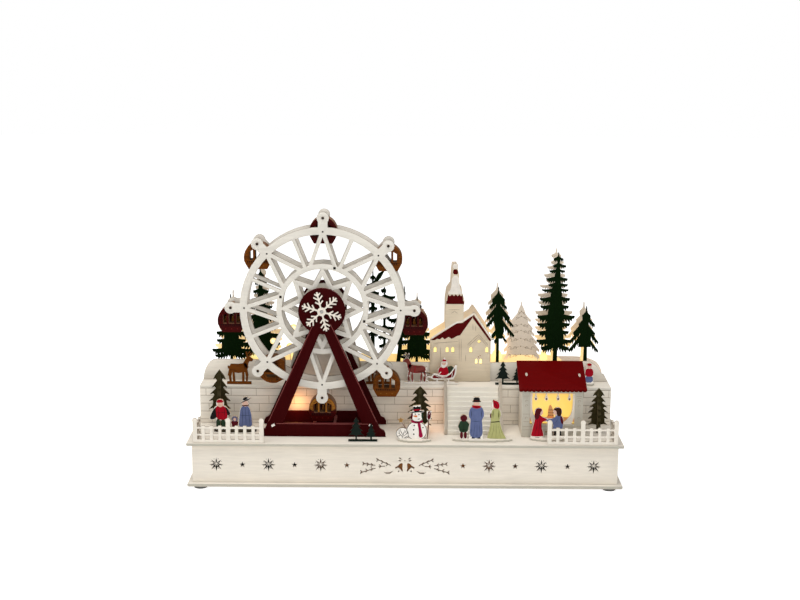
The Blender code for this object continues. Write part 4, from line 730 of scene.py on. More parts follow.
def snowman_drawing():
    """Snowman with a hat and a scarf, a broom, and a bush with a star."""
    twigs = [[(-15, 2.4), (-14.2, 6), (-12.4, 11.4)], [(-14.6, 4), (-17, 7), (-19.6, 9)],
             [(-14.2, 6), (-16.4, 10.2), (-16.8, 12.6)], [(-13.8, 5), (-11.4, 6.6), (-9.4, 9.4)],
             [(-16.6, 6.4), (-18.6, 5), (-20.4, 5.4)], [(-12.6, 8), (-10.6, 11), (-10.4, 12.4)],
             [(-17.6, 8.6), (-18.4, 10.6), (-17.8, 12)], [(-13.6, 3), (-11.6, 3.4), (-9.6, 5.4)]]
    return [
        (INK, [ring(0, 10.7, 10.5), ring(0.4, 26.2, 6), ring(-14.6, 7.7, 6.6)]),
        (SNOW, [ring(0, 10.7, 10), ring(0.4, 26.2, 5.6), ring(-14.6, 7.7, 6.2)]),
        (INK, folds(twigs, 0.75)),
        (DARK_RED, rounded([(-6.2, 22.4), (-5.8, 29.4), (-3.8, 29.9), (-4.6, 23.6)])),
        (DARK_GREEN, rounded([(5, 23.8), (4.4, 30.4), (6.4, 30.6), (6.6, 23.2)])),
        (SCARF, [rounded([(-6, 22.4), (-5.8, 19.8), (0, 18.4), (6.2, 19.6), (6.4, 22.2), (0.4, 20.8)]),
                 rounded([(0.4, 19.8), (3.8, 19.6), (4.8, 12), (7, 3.8), (2, 3.4), (2.2, 11)], 1)]),
        (DARK_RED, folds([[(2.2, 18.6), (3.4, 12), (4.4, 5)], [(-4, 21), (0.2, 19.6), (4.4, 20.8)]], 0.45)),
        (ORANGE, rounded([(0.6, 27.8), (-5.2, 26.9), (0.4, 25)], 1)),
        (INK, [ring(2.2, 28.4, 0.65, count=12), ring(-1.6, 28.8, 0.65, count=12),
               ring(-2.6, 16.6, 0.8, count=14), ring(-3.2, 12, 0.8, count=14),
               ring(-3, 7.2, 0.8, count=14), ring(6.4, 14.4, 0.7, count=14),
               *folds([[(0.4, 23.6), (2, 23.2), (3.6, 24.2)]], 0.4)]),
        (BLACK, [rounded([(-7.2, 30), (7.2, 31.3), (7, 32.6), (-7.3, 31.1)], 1),
                 rounded([(-4, 31.4), (4.1, 32.2), (3.7, 38.2), (-3.9, 37.5)], 1)]),
        (CRIMSON, rounded([(-4, 32.2), (4, 33), (3.9, 34.6), (-3.9, 33.8)], 1)),
        (SNOW, rounded([(-4, 36.2), (-2.6, 37.2), (-1.2, 35.9), (0.6, 37.6), (2.2, 36.3), (3.7, 37.6),
                        (3.7, 38.3), (-3.9, 37.6)], 1)),
        (BROWN, [rounded([(10.6, 2.2), (11.8, 2.2), (12.9, 24), (11.8, 24.2)], 1)]),
        (DARK_RED, rounded([(10.9, 23.2), (14.1, 23.6), (14.9, 32.2), (10.6, 31.5)], 1)),
        (SNOW, folds([[(11.4, 28), (11.3, 30.2), (11, 31.4)], [(13, 28.4), (13.4, 30.4), (14, 31.8)]], 0.6)),
        (BROWN, folds([[(-10.4, 12.6), (-13, 16.2), (-15.4, 19.6)]], 0.9)),
        (GOLD, rays(-16.4, 22, 3.2, 1.5, 5)),
        (BROWN, folds([[(-16.4, 19.8), (-16.4, 24.6)], [(-18.8, 22.6), (-14.2, 22.8)]], 0.35)),
    ]


def man_drawing():
    """Man in a blue coat and a tall hat."""
    pleats = [[(-4.6, 19), (-5.2, 11), (-6.2, 3.6)], [(-1.8, 19.4), (-2.2, 11), (-3, 3)],
              [(0.8, 19.4), (1, 11), (0.8, 3)], [(3.4, 19.2), (3.9, 11), (4.8, 3.2)]]
    return [
        (BLACK, [rounded([(-5, 2.1), (-1.2, 2.1), (-1.4, 4), (-4.8, 4)], 1),
                 rounded([(1.2, 2.1), (5, 2.1), (4.8, 4), (1.4, 4)], 1)]),
        (COAT_BLUE, rounded([(-7.3, 3), (7.3, 3), (6.8, 18), (5.9, 24), (8.2, 27), (8.3, 33), (6.3, 37.8),
                             (2.5, 40), (-2.5, 40), (-6.3, 37.8), (-8.3, 33), (-8.2, 27), (-5.9, 24),
                             (-6.8, 18)])),
        (BLUE_FOLD, folds(pleats, 0.55) + folds([[(-5.8, 22.4), (0, 21.9), (5.8, 22.4)],
                                                 [(-6, 36), (-5.2, 30), (-5.8, 25.4)],
                                                 [(6, 36), (5.2, 30), (5.8, 25.4)]], 0.5)),
        (SKIN, ring(0, 42.4, 3.3, 3.2)),
        (CRIMSON, rounded([(-4.4, 40.4), (4.2, 40), (5.2, 37.6), (0.2, 36.2), (-5.4, 37.8)])),
        (DARK_RED, folds([[(-3.8, 38.6), (0.2, 37.6), (4, 38.6)]], 0.4)),
        (BLACK, rounded([(-4.8, 43.9), (4.8, 43.9), (4.7, 44.8), (3.4, 45.2), (3.5, 49.3), (-3.5, 49.3),
                         (-3.4, 45.2), (-4.7, 44.8)], 1)),
        (DARK_RED, folds([[(-3.3, 45.9), (0, 45.8), (3.3, 45.9)]], 0.7)),
    ]


def woman_drawing():
    """Woman in a long olive coat and a red scarf."""
    pleats = [[(-4, 19.5), (-5.6, 12), (-8.2, 4.4)], [(-1.8, 19.5), (-2.6, 11), (-4.4, 3.2)],
              [(0.6, 19.5), (0.8, 11), (0.4, 3)], [(2.6, 19.5), (4.2, 11), (6, 3.4)],
              [(4.2, 19), (6.6, 10), (10.6, 3.6)]]
    return [
        (DARK_RED, rounded([(-6.2, 31), (-4.4, 31.4), (-4.6, 25.4), (-6.4, 26.4)])),
        (OLIVE, rounded([(-9.2, 2.2), (11.2, 2.2), (11.8, 3.4), (8.2, 8.8), (5.2, 18.8), (4, 25), (5.8, 30),
                         (4.6, 34.8), (2.5, 37), (-2.8, 37), (-5.2, 33), (-4.9, 25), (-6.2, 14),
                         (-8.8, 5.2)])),
        (OLIVE_FOLD, folds(pleats, 0.55) + folds([[(-2.4, 35.4), (-3.6, 30), (-3, 24.6)],
                                                  [(3, 35), (3.8, 30), (2.6, 24.6)]], 0.4)),
        (BLACK, stroke([(-5.2, 21.2), (0, 21.6), (4.5, 22.2)], 1.3, 0.1)),
        (SKIN, rounded([(-3.4, 36.4), (0.6, 36.2), (-0.4, 41), (-3.6, 40)])),
        (CRIMSON, rounded([(-1.4, 37), (3.5, 36), (4, 41), (2.6, 44.6), (-2, 46.1), (-3.4, 46),
                           (-3.2, 42.6), (-2.8, 39)])),
        (DARK_RED, folds([[(-2.6, 44.4), (0.2, 42), (1.8, 37.6)]], 0.45)),
    ]


def child_drawing():
    """Child with a red hood and a green coat."""
    return [
        (DARK_RED, [rounded([(-3.7, 2.1), (-0.7, 2.1), (-0.6, 9.8), (-3.8, 9.8)], 1),
                    rounded([(0.5, 2.1), (3.5, 2.1), (3.6, 9.8), (0.4, 9.8)], 1)]),
        (DARK_GREEN, rounded([(-4.5, 9), (4.5, 9), (5, 14), (6.4, 18), (4.5, 20), (3.3, 22.3), (-3.3, 22.3),
                              (-4.7, 20), (-6.2, 15), (-4.9, 14)])),
        (INK, folds([[(0, 21), (0.2, 15), (0, 9.6)], [(-4.2, 12), (0, 11.4), (4.2, 12)]], 0.35)),
        (DARK_RED, ring(0, 25, 3.8)),
        (DARK_BROWN, folds([[(-2.6, 23.4), (0, 22.5), (2.6, 23.4)], [(-2.4, 27.2), (0, 28), (2.4, 27.2)]],
                           0.4)),
    ]


def couple_drawing():
    """Girl in a red coat and boy in a blue one, hand in hand."""
    pleats = [[(-10.4, 22), (-11.4, 12), (-13.8, 3.6)], [(-8.4, 22), (-8.6, 12), (-9.6, 3.4)],
              [(-7, 20), (-6.4, 12), (-6, 3.6)]]
    return [
        (BLACK, rounded([(-12.8, 2.1), (-8.2, 2.1), (-8.4, 3.6), (-12.6, 3.6)], 1)),
        (CRIMSON, rounded([(-17.2, 2.6), (-4.7, 2.6), (-4.3, 6), (-6.9, 15), (-5.4, 19.3), (-0.9, 20.2),
                           (-1.4, 22.3), (-6.8, 23.8), (-8.2, 26.6), (-12.3, 26.6), (-13.5, 20),
                           (-16.1, 9)])),
        (SNOW, stroke([(-16.8, 3.4), (-11, 3), (-5, 3.4)], 0.9, 0.2)),
        (DARK_RED, folds(pleats, 0.55)),
        (SKIN, ring(-7.6, 28.6, 2.3, 2.7)),
        (DARK_RED, rounded([(-8.2, 33), (-5.9, 31.4), (-7.4, 29.6), (-8.4, 26), (-9.2, 22.6), (-12.4, 20.6),
                            (-13.6, 23), (-13.4, 30), (-11.6, 33)])),
        (DARK_BROWN, folds([[(-9.4, 31.6), (-10.4, 27), (-11.4, 22.4)]], 0.45)),
        (INK, [rounded([(6.1, 2.1), (8.9, 2.1), (8.9, 10), (6.1, 10)], 1),
               rounded([(10.7, 2.1), (13.5, 2.1), (13.5, 10), (10.7, 10)], 1)]),
        (COAT_BLUE, rounded([(4.6, 9.2), (14.2, 9.2), (15.3, 16), (14.7, 22.8), (12.2, 26.2), (8.4, 26.2),
                             (6.2, 22.4), (-2.2, 21.5), (-2.1, 19.5), (5.8, 18.4)])),
        (BLUE_FOLD, folds([[(6.4, 17.6), (9, 20), (10.4, 24.4)], [(5.4, 11), (10, 10.6), (14.4, 11)]], 0.5)),
        (DARK_RED, rounded([(12.2, 26), (14.9, 22.8), (15.4, 16), (13.2, 17), (12, 22)])),
        (SKIN, ring(7.2, 28.6, 2.2, 2.8)),
        (DARK_BROWN, rounded([(6.4, 33.4), (5.2, 31.2), (8, 30.6), (8.4, 26.6), (10.4, 24.4), (13.2, 25.6),
                              (13.6, 31), (11.6, 33.8)])),
    ]


def family_left_drawing():
    """Child in a red jacket and a dark cape, small child, and a man in a long blue coat."""
    return [
        (DARK_GREEN, [rounded([(-22, 2.1), (-18, 2.1), (-17.6, 13.6), (-22.2, 13.6)], 1),
                      rounded([(-16.4, 2.1), (-12.8, 2.1), (-12.4, 13.6), (-17, 13.6)], 1)]),
        (INK, [rounded([(-23.2, 26.3), (-19.2, 26.8), (-20.8, 15.4), (-25.2, 12.9), (-29, 13.4),
                        (-27.3, 19)]),
               rounded([(-14.4, 26.8), (-11.7, 26.9), (-8.6, 23.5), (-6.6, 18.7), (-9.2, 17.3),
                        (-13.2, 18.4)])]),
        (CRIMSON, rounded([(-21.6, 12.7), (-10.3, 12.7), (-10.2, 20), (-12.2, 26.6), (-15.4, 28.4),
                           (-19.6, 28.4), (-22.4, 26.2), (-22.2, 20)])),
        (DARK_RED, folds([[(-19.2, 26.4), (-19.8, 14)], [(-13.6, 26), (-12.4, 14)],
                          [(-21.6, 20.4), (-10.4, 20.4)]], 0.7)),
        (SKIN, ring(-17.4, 29.6, 3.1, 3.2)),
        (CRIMSON, rounded([(-21.8, 31), (-13.6, 31.4), (-14.4, 34), (-17.8, 35.2), (-20.9, 34)])),
        (DARK_RED, [rounded([(-5.6, 4.6), (0.6, 4.6), (0.4, 8), (1.6, 9.9), (-0.8, 12.2), (-4.2, 12.2),
                             (-6.8, 9.9), (-5.4, 8)]), rect(-4.6, 2.1, -3.2, 5), rect(-2, 2.1, -0.6, 5)]),
        ((0.10, 0.11, 0.20), ring(-2.5, 13.8, 3)),
        (SKIN, ring(-2.5, 13.2, 1.6, 1.8)),
        (INK, [rect(4.4, 2.1, 7, 5), rect(9.6, 2.1, 12.2, 5)]),
        (COAT_BLUE, rounded([(1.5, 4.5), (15.9, 4.5), (15.5, 13), (14.9, 20), (13.1, 26), (10.5, 28.3),
                             (6.7, 28.1), (3.7, 25.3), (2.7, 18), (2.1, 11)])),
        (BLUE_FOLD, folds([[(6.2, 26), (5.2, 5)], [(9, 27), (9.4, 5)], [(12, 25.6), (13.6, 5)],
                           [(2.8, 17.6), (14.8, 17.6)]], 0.7)),
        (SKIN, ring(8.8, 30.4, 3.1, 3.3)),
        (DARK_BROWN, folds([[(5.2, 28.2), (12.6, 28.6)]], 1.5)),
        (BLACK, [rounded([(4.4, 30.8), (14.6, 35.7), (14.2, 36.8), (4, 31.8)], 1),
                 rounded([(6.6, 33.5), (12.1, 36), (10.5, 38.3), (6, 36.2)], 1)]),
    ]


def visitor_drawing():
    """Small visitor in a red jacket."""
    return [
        (COAT_BLUE, rounded([(-4.5, 2.1), (4.5, 2.1), (3.8, 10), (-3.8, 10)], 1)),
        (CRIMSON, rounded([(-3.8, 8.6), (3.8, 8.6), (4.8, 14), (2.9, 18), (-2.9, 18), (-4.8, 14)])),
        (SKIN, ring(0, 19.9, 2.5, 2.6)),
        (CRIMSON, rounded([(-2.9, 20.6), (2.9, 20.6), (2, 23.3), (-2, 23.3)])),
    ]


def deer_drawing(grazing, coat, dark):
    """Deer that looks to the right, with its head up or down at the grass."""
    body = [(-10, 18.8), (-8.3, 21.8), (0, 21.6), (5, 22.4), (8.4, 24.2), (10.2, 18.4), (8, 13.7),
            (0, 12.5), (-6.5, 13.5), (-10.2, 15.6)]
    head = [(5.6, 21.6), (9.6, 19.9), (14, 13.3), (16.1, 9.1), (14, 7.6), (11.2, 9.7), (7.8, 14.2)]
    eye = (12.8, 12.4)
    if not grazing:
        eye = (12, 28.2)
        head = [(4.6, 21.6), (8.2, 27.8), (9.3, 30.1), (12.1, 29.7), (15.5, 27.1), (14.8, 25.5),
                (11.8, 25.5), (10.2, 22), (9.2, 16.4)]
    legs = [[(-8.2, 16), (-9.7, 10)], [(-9.5, 10.4), (-8.7, 2.8)], [(-5.6, 14), (-4.9, 2.8)],
            [(5, 14), (4.8, 2.8)], [(8, 15), (9, 9.8)], [(9.1, 10), (8.5, 2.8)]]
    return [
        (coat, [rounded(body), rounded(head)] + folds(legs, 2.3)),
        (dark, folds([[(-8.8, 16.6), (-1, 14.4)], [(-4, 20), (4, 20.2)], [(6.8, 20.6), (7.2, 15.2)],
                      [(-9.4, 10.2), (-8.7, 3)], [(9.1, 9.8), (8.5, 3)]], 0.7)),
        (INK, ring(*eye, 0.4, count=10)),
    ]


def sleigh_drawing():
    """Reindeer with antlers, sleigh with pale scrolls and runners, its driver in red and a sack."""
    shell = [(-2.4, 7), (1.1, 12.1), (5, 11.8), (8, 9.8), (16, 10.2), (20, 13.8), (24.4, 21.2), (26.1, 21.1),
             (25.3, 12), (22.4, 5.8), (2.7, 5.3)]
    inner = [(-0.6, 7.4), (1.6, 10.8), (5, 10.4), (8.2, 8.6), (16.2, 9), (20.8, 12.8), (24.2, 18.6),
             (24.6, 18.6), (24, 12.2), (21.6, 7), (3.2, 6.5)]
    antlers = [[(10, 29.4), (8.7, 35.2)], [(9.3, 32.2), (12.6, 35.8)], [(10.8, 29.6), (14, 33.8)],
               [(12.7, 32.1), (15.3, 33.1)]]
    deer = deer_drawing(False, RED_DEER, RED_DEER_DARK)
    deer.append((DARK_BROWN, folds(antlers, 1)))
    deer.append((CRIMSON, folds([[(1.6, 21.4), (2.2, 13)], [(9, 18), (10.2, 22.4)]], 1)))
    scrolls = [[(2.6, 10.4), (8, 7.6)], [(8, 7.6), (14, 7.8)], [(14, 7.8), (18.6, 11.6)],
               [(21.6, 13.4), (20.6, 7.4)]]
    runners = [[(-3.8, 2.9), (23.8, 2.9)], [(4.4, 3.2), (5.9, 6.2)], [(17.9, 3.2), (17.1, 6.2)],
               [(-4, 3), (-6.8, 5.8)], [(-6.8, 5.6), (-4.8, 8.6)], [(-4.8, 8.4), (-1.4, 8.1)]]
    return place_in(deer, 0.96, -17, -1) + [
        (DARK_GREEN, ring(19.4, 16.2, 4.3)),
        (BROWN, folds([[(16.4, 18.4), (22.4, 18.6)], [(19.4, 20), (19.6, 12.4)]], 0.5)),
        (CRIMSON, [rounded([(6.3, 10.2), (17.7, 10.2), (16.8, 17.8), (13.5, 21.3), (9.8, 20.7),
                            (6.3, 16.8)])]),
        (SNOW, [ring(11.8, 20.8, 2.9, 2.4), stroke([(9.4, 14), (6.8, 11.4)], 1.2, 0.3)]),
        (SKIN, ring(12.2, 23.4, 2.3, 2)),
        (CRIMSON, rounded([(9.9, 24.6), (15.5, 24.9), (13.9, 28.4), (11.6, 28.5)])),
        (SNOW, [stroke([(9.6, 24.8), (15.7, 25.2)], 1.2, 0.1), ring(13, 28.4, 0.9, count=12)]),
        (SNOW, rounded(shell, 1)),
        ((0.16, 0.004, 0.008), rounded(inner, 1)),
        (SNOW, folds(scrolls, 0.8) + folds(runners, 1.2)),
        (DARK_BROWN, folds([[(-13.8, 14), (1.6, 11.2)]], 0.8)),
    ]


def paint_figures():
    """Each row: node, drawing, place, ground, size and the height where its paint starts. The films are on
    both sides of every figure."""
    deck, terrace = DECK + 0.0003, TERRACE + 0.0003
    people = place_in(child_drawing(), 0.96, -13) + place_in(man_drawing(), 0.94)
    people += place_in(woman_drawing(), 0.94, 20)
    rows = [
        ("snowman", snowman_drawing(), 0.0120, deck, 1, STAND),
        ("family_centre", people, 0.0735, deck, 1, STAND),
        ("family_left", family_left_drawing(), -0.1770, deck, 1, STAND),
        ("couple_right", couple_drawing(), 0.1480, deck, COUPLE_SIZE, STAND / COUPLE_SIZE),
        ("visitor", visitor_drawing(), 0.1978, terrace, 1, STAND),
        ("deer_left", deer_drawing(False, DEER, DEER_DARK), -0.1790, terrace, 1, HOOFS),
        ("deer_right", deer_drawing(True, DEER, DEER_DARK), -0.0300, terrace, 1, HOOFS),
        ("sleigh_group", sleigh_drawing(), 0.0290, terrace, 1, RUNNERS),
    ]
    for node, drawing, x, z, size, low in rows:
        near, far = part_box(node)
        front = (near.y + far.y - FIGURE_PLY) / 2
        paint_on(f"{node}_paint", node, drawing, front, (x, z), size * MM, low, FIGURE_PLY, 0.07, soft=0.10)


# Trees. A row is x, apex, half the trunk, the tiers, the style and the lean of the foot. A tier is its
# height and its reach to the left and to the right. Heights are above the terrace.

ROUND_TREE = ((80, 5, 5), (71.6, 8, 8), (62, 11, 11), (50, 16, 14), (41.4, 16, 16), (30.6, 21, 21),
              (24, 18, 18))
TREES = {
    "left": [
        (-190.3, 92.5, 1.8, ROUND_TREE, "spread", 0),
        (-157.6, 126, 1.8, ((113, 3, 4), (105, 6, 7), (96, 8, 9), (87, 10, 11), (79, 13, 13), (68, 15, 17),
                            (58, 18, 19), (48, 21, 21), (38, 25, 21), (29, 21, 20)), "spread", 0),
    ],
    "middle": [
        (-35.8, 120, 2.3, ((112, 3, 3), (104, 7, 9), (95, 6, 7), (86, 9, 6), (78, 6, 5), (68, 8, 7),
                           (58, 6, 9), (49, 9, 6)), "twigs", 0),
        (-23.2, 105, 1.6, ((98, 4, 2), (91, 3, 12), (80, 5, 4), (68, 5, 6), (56, 6, 6), (46, 7, 7),
                           (36, 6, 6)), "twigs", 0),
        (-1.7, 102.3, 2.4, ((95, 2, 2), (86, 5, 5), (76, 9, 7), (66, 15, 8), (57, 14, 9), (49, 12, 10),
                            (41, 10, 9)), "twigs", -8),
        (12.3, 91, 1.8, ROUND_TREE, "spread", 0),
    ],
    "right": [
        (100.4, 102.5, 2, ((88, 7, 7), (79.4, 10, 9.5), (68, 12.5, 13), (59, 13, 17), (48, 7, 18),
                           (41.6, 4, 10)), "hanging", 0),
        (164.3, 140.6, 2.6, ((133, 5.3, 5.3), (125.7, 5.6, 8.5), (120, 9.5, 7.5), (111.3, 12.7, 10.6),
                             (105, 10, 11), (99.3, 17, 12), (89.6, 19, 14), (81, 18, 13), (70, 21, 20),
                             (61.5, 21, 15), (52.8, 21, 14), (43, 21, 16), (34.5, 16, 15)), "spread", -1.2),
        (196.3, 81.3, 2.4, ((70.5, 4.5, 4.5), (60.8, 8, 9.5), (51, 14, 10), (41.3, 18, 14),
                            (31.6, 18.5, 14)), "hanging", 0),
    ],
}
PALE_TREE = (127.5, 81.4, 4, ((65.6, 5.4, 6), (60, 9.8, 10.8), (51, 18.1, 13), (44, 16, 15), (35, 18, 18),
                              (26, 18.8, 21), (16.8, 19, 23)), "solid", 0)
SIDE_BRANCH = ((-36.6, 195.3), (-34.4, 194.7), (-27, 203.3), (-22.4, 212.3), (-30.2, 207.3))
CORE_WIDTHS = {"spread": (0.16, 0.58), "hanging": (0.22, 0.42), "solid": (0.55, 0.82)}


def bough(x, side, reach, level, rise, sag, thick, taper, fingers):
    """One bough, seen from the front. Its upper edge falls from the rise at the trunk to the tip's level,
    less a sag that is greatest in the middle. Its lower edge is the thickness below that, which shrinks
    with the square of the way out, and has a saw of fingers that hang toward the tip."""
    t = np.linspace(0, 1, fingers * 6 + 1)
    saw = (t * fingers) % 1
    out = reach * t
    upper = level + rise * (1 - t) - sag * 4 * t * (1 - t)
    body = thick * (1 - taper * t * t) * (1 - t ** 12) + 0.25
    lower = upper - body * (0.45 + 0.55 * saw)
    above = np.stack((x + side * out, upper), axis=1)
    below = np.stack((x + side * (out + 0.9 * saw * (1 - t)), lower), axis=1)
    return np.concatenate((above, below[::-1]))


def boughs(x, apex, trunk, tiers, style, lean):
    """All outlines of one tree above the terrace: a trunk that narrows to the apex, a core that fills the
    middle, and two boughs for each tier. The styles are spread boughs with raised tips, hanging boughs,
    solid ones for a pale plate, and thin twigs."""
    ground = TERRACE / MM
    table = np.asarray(tiers, dtype=float)
    drop = np.concatenate(((apex,), table[:-1, 0])) - table[:, 0]
    foot = x + lean
    neck = trunk * (0.8 if style == "twigs" else 0.45)
    parts = [np.array(((foot - trunk, ground), (foot + trunk, ground), (x + neck, ground + apex * 0.75),
                       (x + 0.5, ground + apex - 1.5), (x, ground + apex), (x - 0.5, ground + apex - 1.5),
                       (x - neck, ground + apex * 0.75)))]
    axis = x + lean * (apex - table[:, 0]) / apex
    if style != "twigs":
        share = np.linspace(*CORE_WIDTHS[style], len(table))[:, None] * table[:, 1:]
        height = table[:, 0] + drop * 0.4 + ground
        left = np.stack((axis - share[:, 0], height), axis=1)
        right = np.stack((axis + share[:, 1], height), axis=1)
        parts.append(np.concatenate((((x, ground + apex - 3),), right, left[::-1])))
    for k, (z, left, right) in enumerate(tiers):
        late = k / (len(tiers) - 1)
        for side, reach in ((-1, left), (1, right)):
            if reach < 2:
                continue
            if style == "spread" and k + 1 == len(tiers):
                shape = (drop[k], reach * 0.08, drop[k] * 1.35, 0.55)
            elif style == "spread":
                shape = (drop[k] * 0.35 + 0.5, reach * 0.06, drop[k] * (0.76 + 0.30 * late) + 0.4, 0.5)
            elif style == "twigs":
                shape = (drop[k] * 0.30, reach * 0.12, 5.6 + 0.16 * reach, 0.50)
            else:
                rise = min(reach * (1.15 + 0.30 * late), apex - z - 2)
                thick = drop[k] * (1.25 if style == "solid" else 0.95) + 0.8
                shape = (rise, reach * 0.05, thick, 0.35)
            parts.append(bough(axis[k], side, reach, z + ground, *shape, 2 + int(reach // 4)))
    return parts


def scene_trees():
    """Green trees in place of the sawn green plates."""
    green = painted("spruce_boughs", SPRUCE, (0.004, 0.014, 0.003), 0.6, grain=1.1, run="along_z",
                    gloss=0.03)
    for word, trees in TREES.items():
        low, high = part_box(f"spruces_{word}")
        shapes = []
        for tree in trees:
            shapes += boughs(*tree)
        shapes.append(rect(low.x / MM + 1, low.z / MM, high.x / MM - 1, low.z / MM + 9))
        if word == "middle":
            shapes.append(np.array(SIDE_BRANCH))
        made = sawn(f"spruces_{word}_boughs", f"spruces_{word}", shapes, SPRUCES, green, stagger=0.008)
        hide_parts(f"spruces_{word}")


def back_layer():
    """The pale rear plate: copies of the full trees, a chapel and the hill, lit warm from below. The pale
    tree next to the stall belongs to the same plate and is lit from the left."""
    glow = lit("rear_layer", (0.70, 0.61, 0.49), (1, 0.66, 0.20), (1, 0.66, 0.40), 0.114, 0.170, 0.80, 0.08,
               foot=(0.090, 0.104))
    outlines = []
    for tree in sum(TREES.values(), []):
        if "twigs" not in tree:
            outlines += boughs(*tree)
    chapel = [[(26.2, 92.3), (73, 92.3), (73, 166.5), (61.2, 158.3), (54.9, 157.5), (26.2, 138.9)],
              [(42.3, 92.3), (62.2, 92.3), (62.8, 177.9), (61, 188.9), (57.4, 195), (56.8, 209.9),
               (55.2, 216.9), (50.2, 216.9), (49.1, 209.9), (48.4, 195), (44.2, 188.8), (42.6, 177.9)],
              [(56, 92.3), (91.8, 92.3), (91.8, 137.9), (94.5, 138.9), (74.6, 168.3), (72.7, 169.3),
               (56, 143.3)]]
    outlines += [np.array(line) for line in chapel]
    hill = [(-219, 51), (178, 51), (178, 100), (170, 110.5), (160, 112.6), (100, 112.6), (0, 112.6),
            (-150, 112.6), (-170, 110), (-182, 105), (-204, 102), (-212, 98), (-216, 90)]
    outlines += [rounded(hill, 1), rect(-219, 50.4, 219, 84)]
    made = sawn("back_layer", "back_scene", outlines, REAR_PLATE, glow, stagger=0.005)
    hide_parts("back_scene")
    end = [(158, 51), (219, 51), (219.5, 92), (214, 104), (206, 108), (196, 111), (158, 111)]
    # Painted light: a faint warm glow brightens the plate's right end, which lies in shadow
    cream = lit("cream_rear", (0.80, 0.72, 0.62), (1, 0.70, 0.52), (1, 0.74, 0.58), 0.100, 0.112, 0.18, 0.26)
    sawn("back_layer_end", "back_scene", [rounded(end, 1)], REAR_END, cream)
    pale = lit("pale_tree", (0.76, 0.68, 0.58), (1, 0.50, 0.16), (1, 0.76, 0.56), 0.108, 0.120, 0.55, 0.12,
               axis="X", foot=(0.078, 0.094))
    sawn("pale_tree", "back_scene", boughs(*PALE_TREE), PALE_TREE_PLATE, pale, stagger=0.006)


def pale_tree_marks():
    """Curls, dots and the edges of the boughs burnt lightly into the pale tree of the rear plate."""
    x = PALE_TREE[0]
    marks = []
    for z, left, right in PALE_TREE[3]:
        level = TERRACE / MM + z + 2.4
        for side, reach in ((-1, left), (1, right)):
            for out in ((0.30, 0.62) if reach > 12 else (0.42,)):
                radius = min(reach * 0.16, 2.2)
                marks.append(curl(x + side * reach * out, level, radius, side, 4.4, 6.2, 0.5))
            edge = [(x + side * reach * 0.10, level + 1.6), (x + side * reach * 0.62, level - 1.8)]
            marks.append(stroke(edge, 0.4, 0.2))
        marks.append(ring(x, level + 2, 0.7, count=10))
    paint_on("pale_tree_marks", "back_scene", [(TREE_BURNT, marks)], PALE_TREE_FACE, ground=0.06)


# Church, wall, stall, wheel and base

def church_finish():
    """Painted roofs, snow and burnt lines on the church, and the light behind its windows."""
    eaves = [(26.6, 138.3), (54.9, 157), (57.5, 157.2), (61, 157.6), (63.5, 159.6), (71.2, 165),
             (72.6, 166.2), (71.5, 162.9), (58.5, 143.8), (55.5, 143.2), (52.5, 141.2), (49.5, 139.8),
             (46.4, 141.9), (42.1, 139.2), (39.5, 141.4), (37, 139.2), (33.9, 139.8), (31.3, 138.2)]
    strip = [(72.9, 166.6), (92.4, 138.4), (90.7, 137.4), (71.9, 162.9)]
    drift = [(72.8, 168.9), (74.4, 167.9), (94, 139.2), (92.2, 138.7)]
    ridge = [(26.6, 138.9), (36, 145.4), (54.9, 157.3), (61, 158.1), (72.4, 166.3), (72.7, 168.8),
             (61.5, 160.9), (58, 159.2), (54, 158.9), (40, 149.9), (27.4, 141.4)]
    band = [(43, 178.2), (62.4, 178.2), (62.4, 181.4), (61.4, 181.6), (60.8, 188.4), (59, 186.8),
            (57.4, 188.8), (55.4, 186.8), (53.4, 188.8), (51.4, 186.8), (49.4, 188.8), (47.2, 186.8),
            (45, 188.4), (44.2, 181.6), (43.2, 181.4)]
    burnt = [[(37.7, 131), (37.9, 116.6)], [(57.7, 139.5), (58.1, 114.6)], [(59.9, 139.5), (60.1, 114.6)],
             [(64.9, 122.1), (65, 115)], [(91, 137), (91.1, 115)], [(27.4, 136.6), (27.5, 115)],
             [(66.5, 132.9), (72, 139)], [(72, 139), (78.6, 144.7)], [(78.6, 144.7), (84, 139)],
             [(84, 139), (89, 133)], [(68.2, 132.2), (78.6, 142.4)], [(78.6, 142.4), (87.4, 132.6)],
             [(72.2, 156), (72.4, 149.6)], [(75.2, 154.6), (75.3, 148.4)], [(46, 172), (58, 172)],
             [(49, 168), (52.2, 170.4)], [(52.2, 170.4), (55.6, 168)], [(30, 134.8), (56.6, 137)]]
    tower = [(45, 188.9), (60.2, 188.9), (60.6, 190.4), (57.6, 194.8), (56.8, 209.2), (49.2, 209.2),
             (48.4, 194.8), (44.6, 190.4)]
    cap = [(50.4, 216.2), (55, 216), (56, 210.6), (50, 210.6)]
    berries = [ring(78.9, 119.9, 0.55, count=10), ring(80.6, 121.4, 0.5, count=10)]
    near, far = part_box("church")
    paint_on("church_paint", "church", [
        (CHURCH_SNOW, [rounded(ridge, 1), rounded(drift, 1)]),
        (CHAPEL_ROOF, [rounded(eaves, 0), rounded(strip, 0), rounded(band, 0)]),
        (CHURCH_SNOW, rounded(tower, 1)),
        (CHAPEL_ROOF, rounded(cap, 1)),
        (CHURCH_SNOW, ring(52.6, 219.2, 2.8, 2.6)),
        (CHURCH_BURNT, folds(burnt, 0.45)),
        ((0.30, 0.03, 0.02), berries),
    ], near.y, ground=0.07, soft=0.10)
    yellow = lit("window_light", (0.9, 0.8, 0.4), (1, 0.86, 0.42), (1, 0.80, 0.26), 0.112, 0.130, 1.15, 0.95)
    panes = [rect(29, 110.5, 91, 132.4), ring(79.2, 136.8, 3)]
    back = far.y / MM
    sawn("window_light", "church", panes, (back + 0.03, back + 0.20), yellow, 0.02)


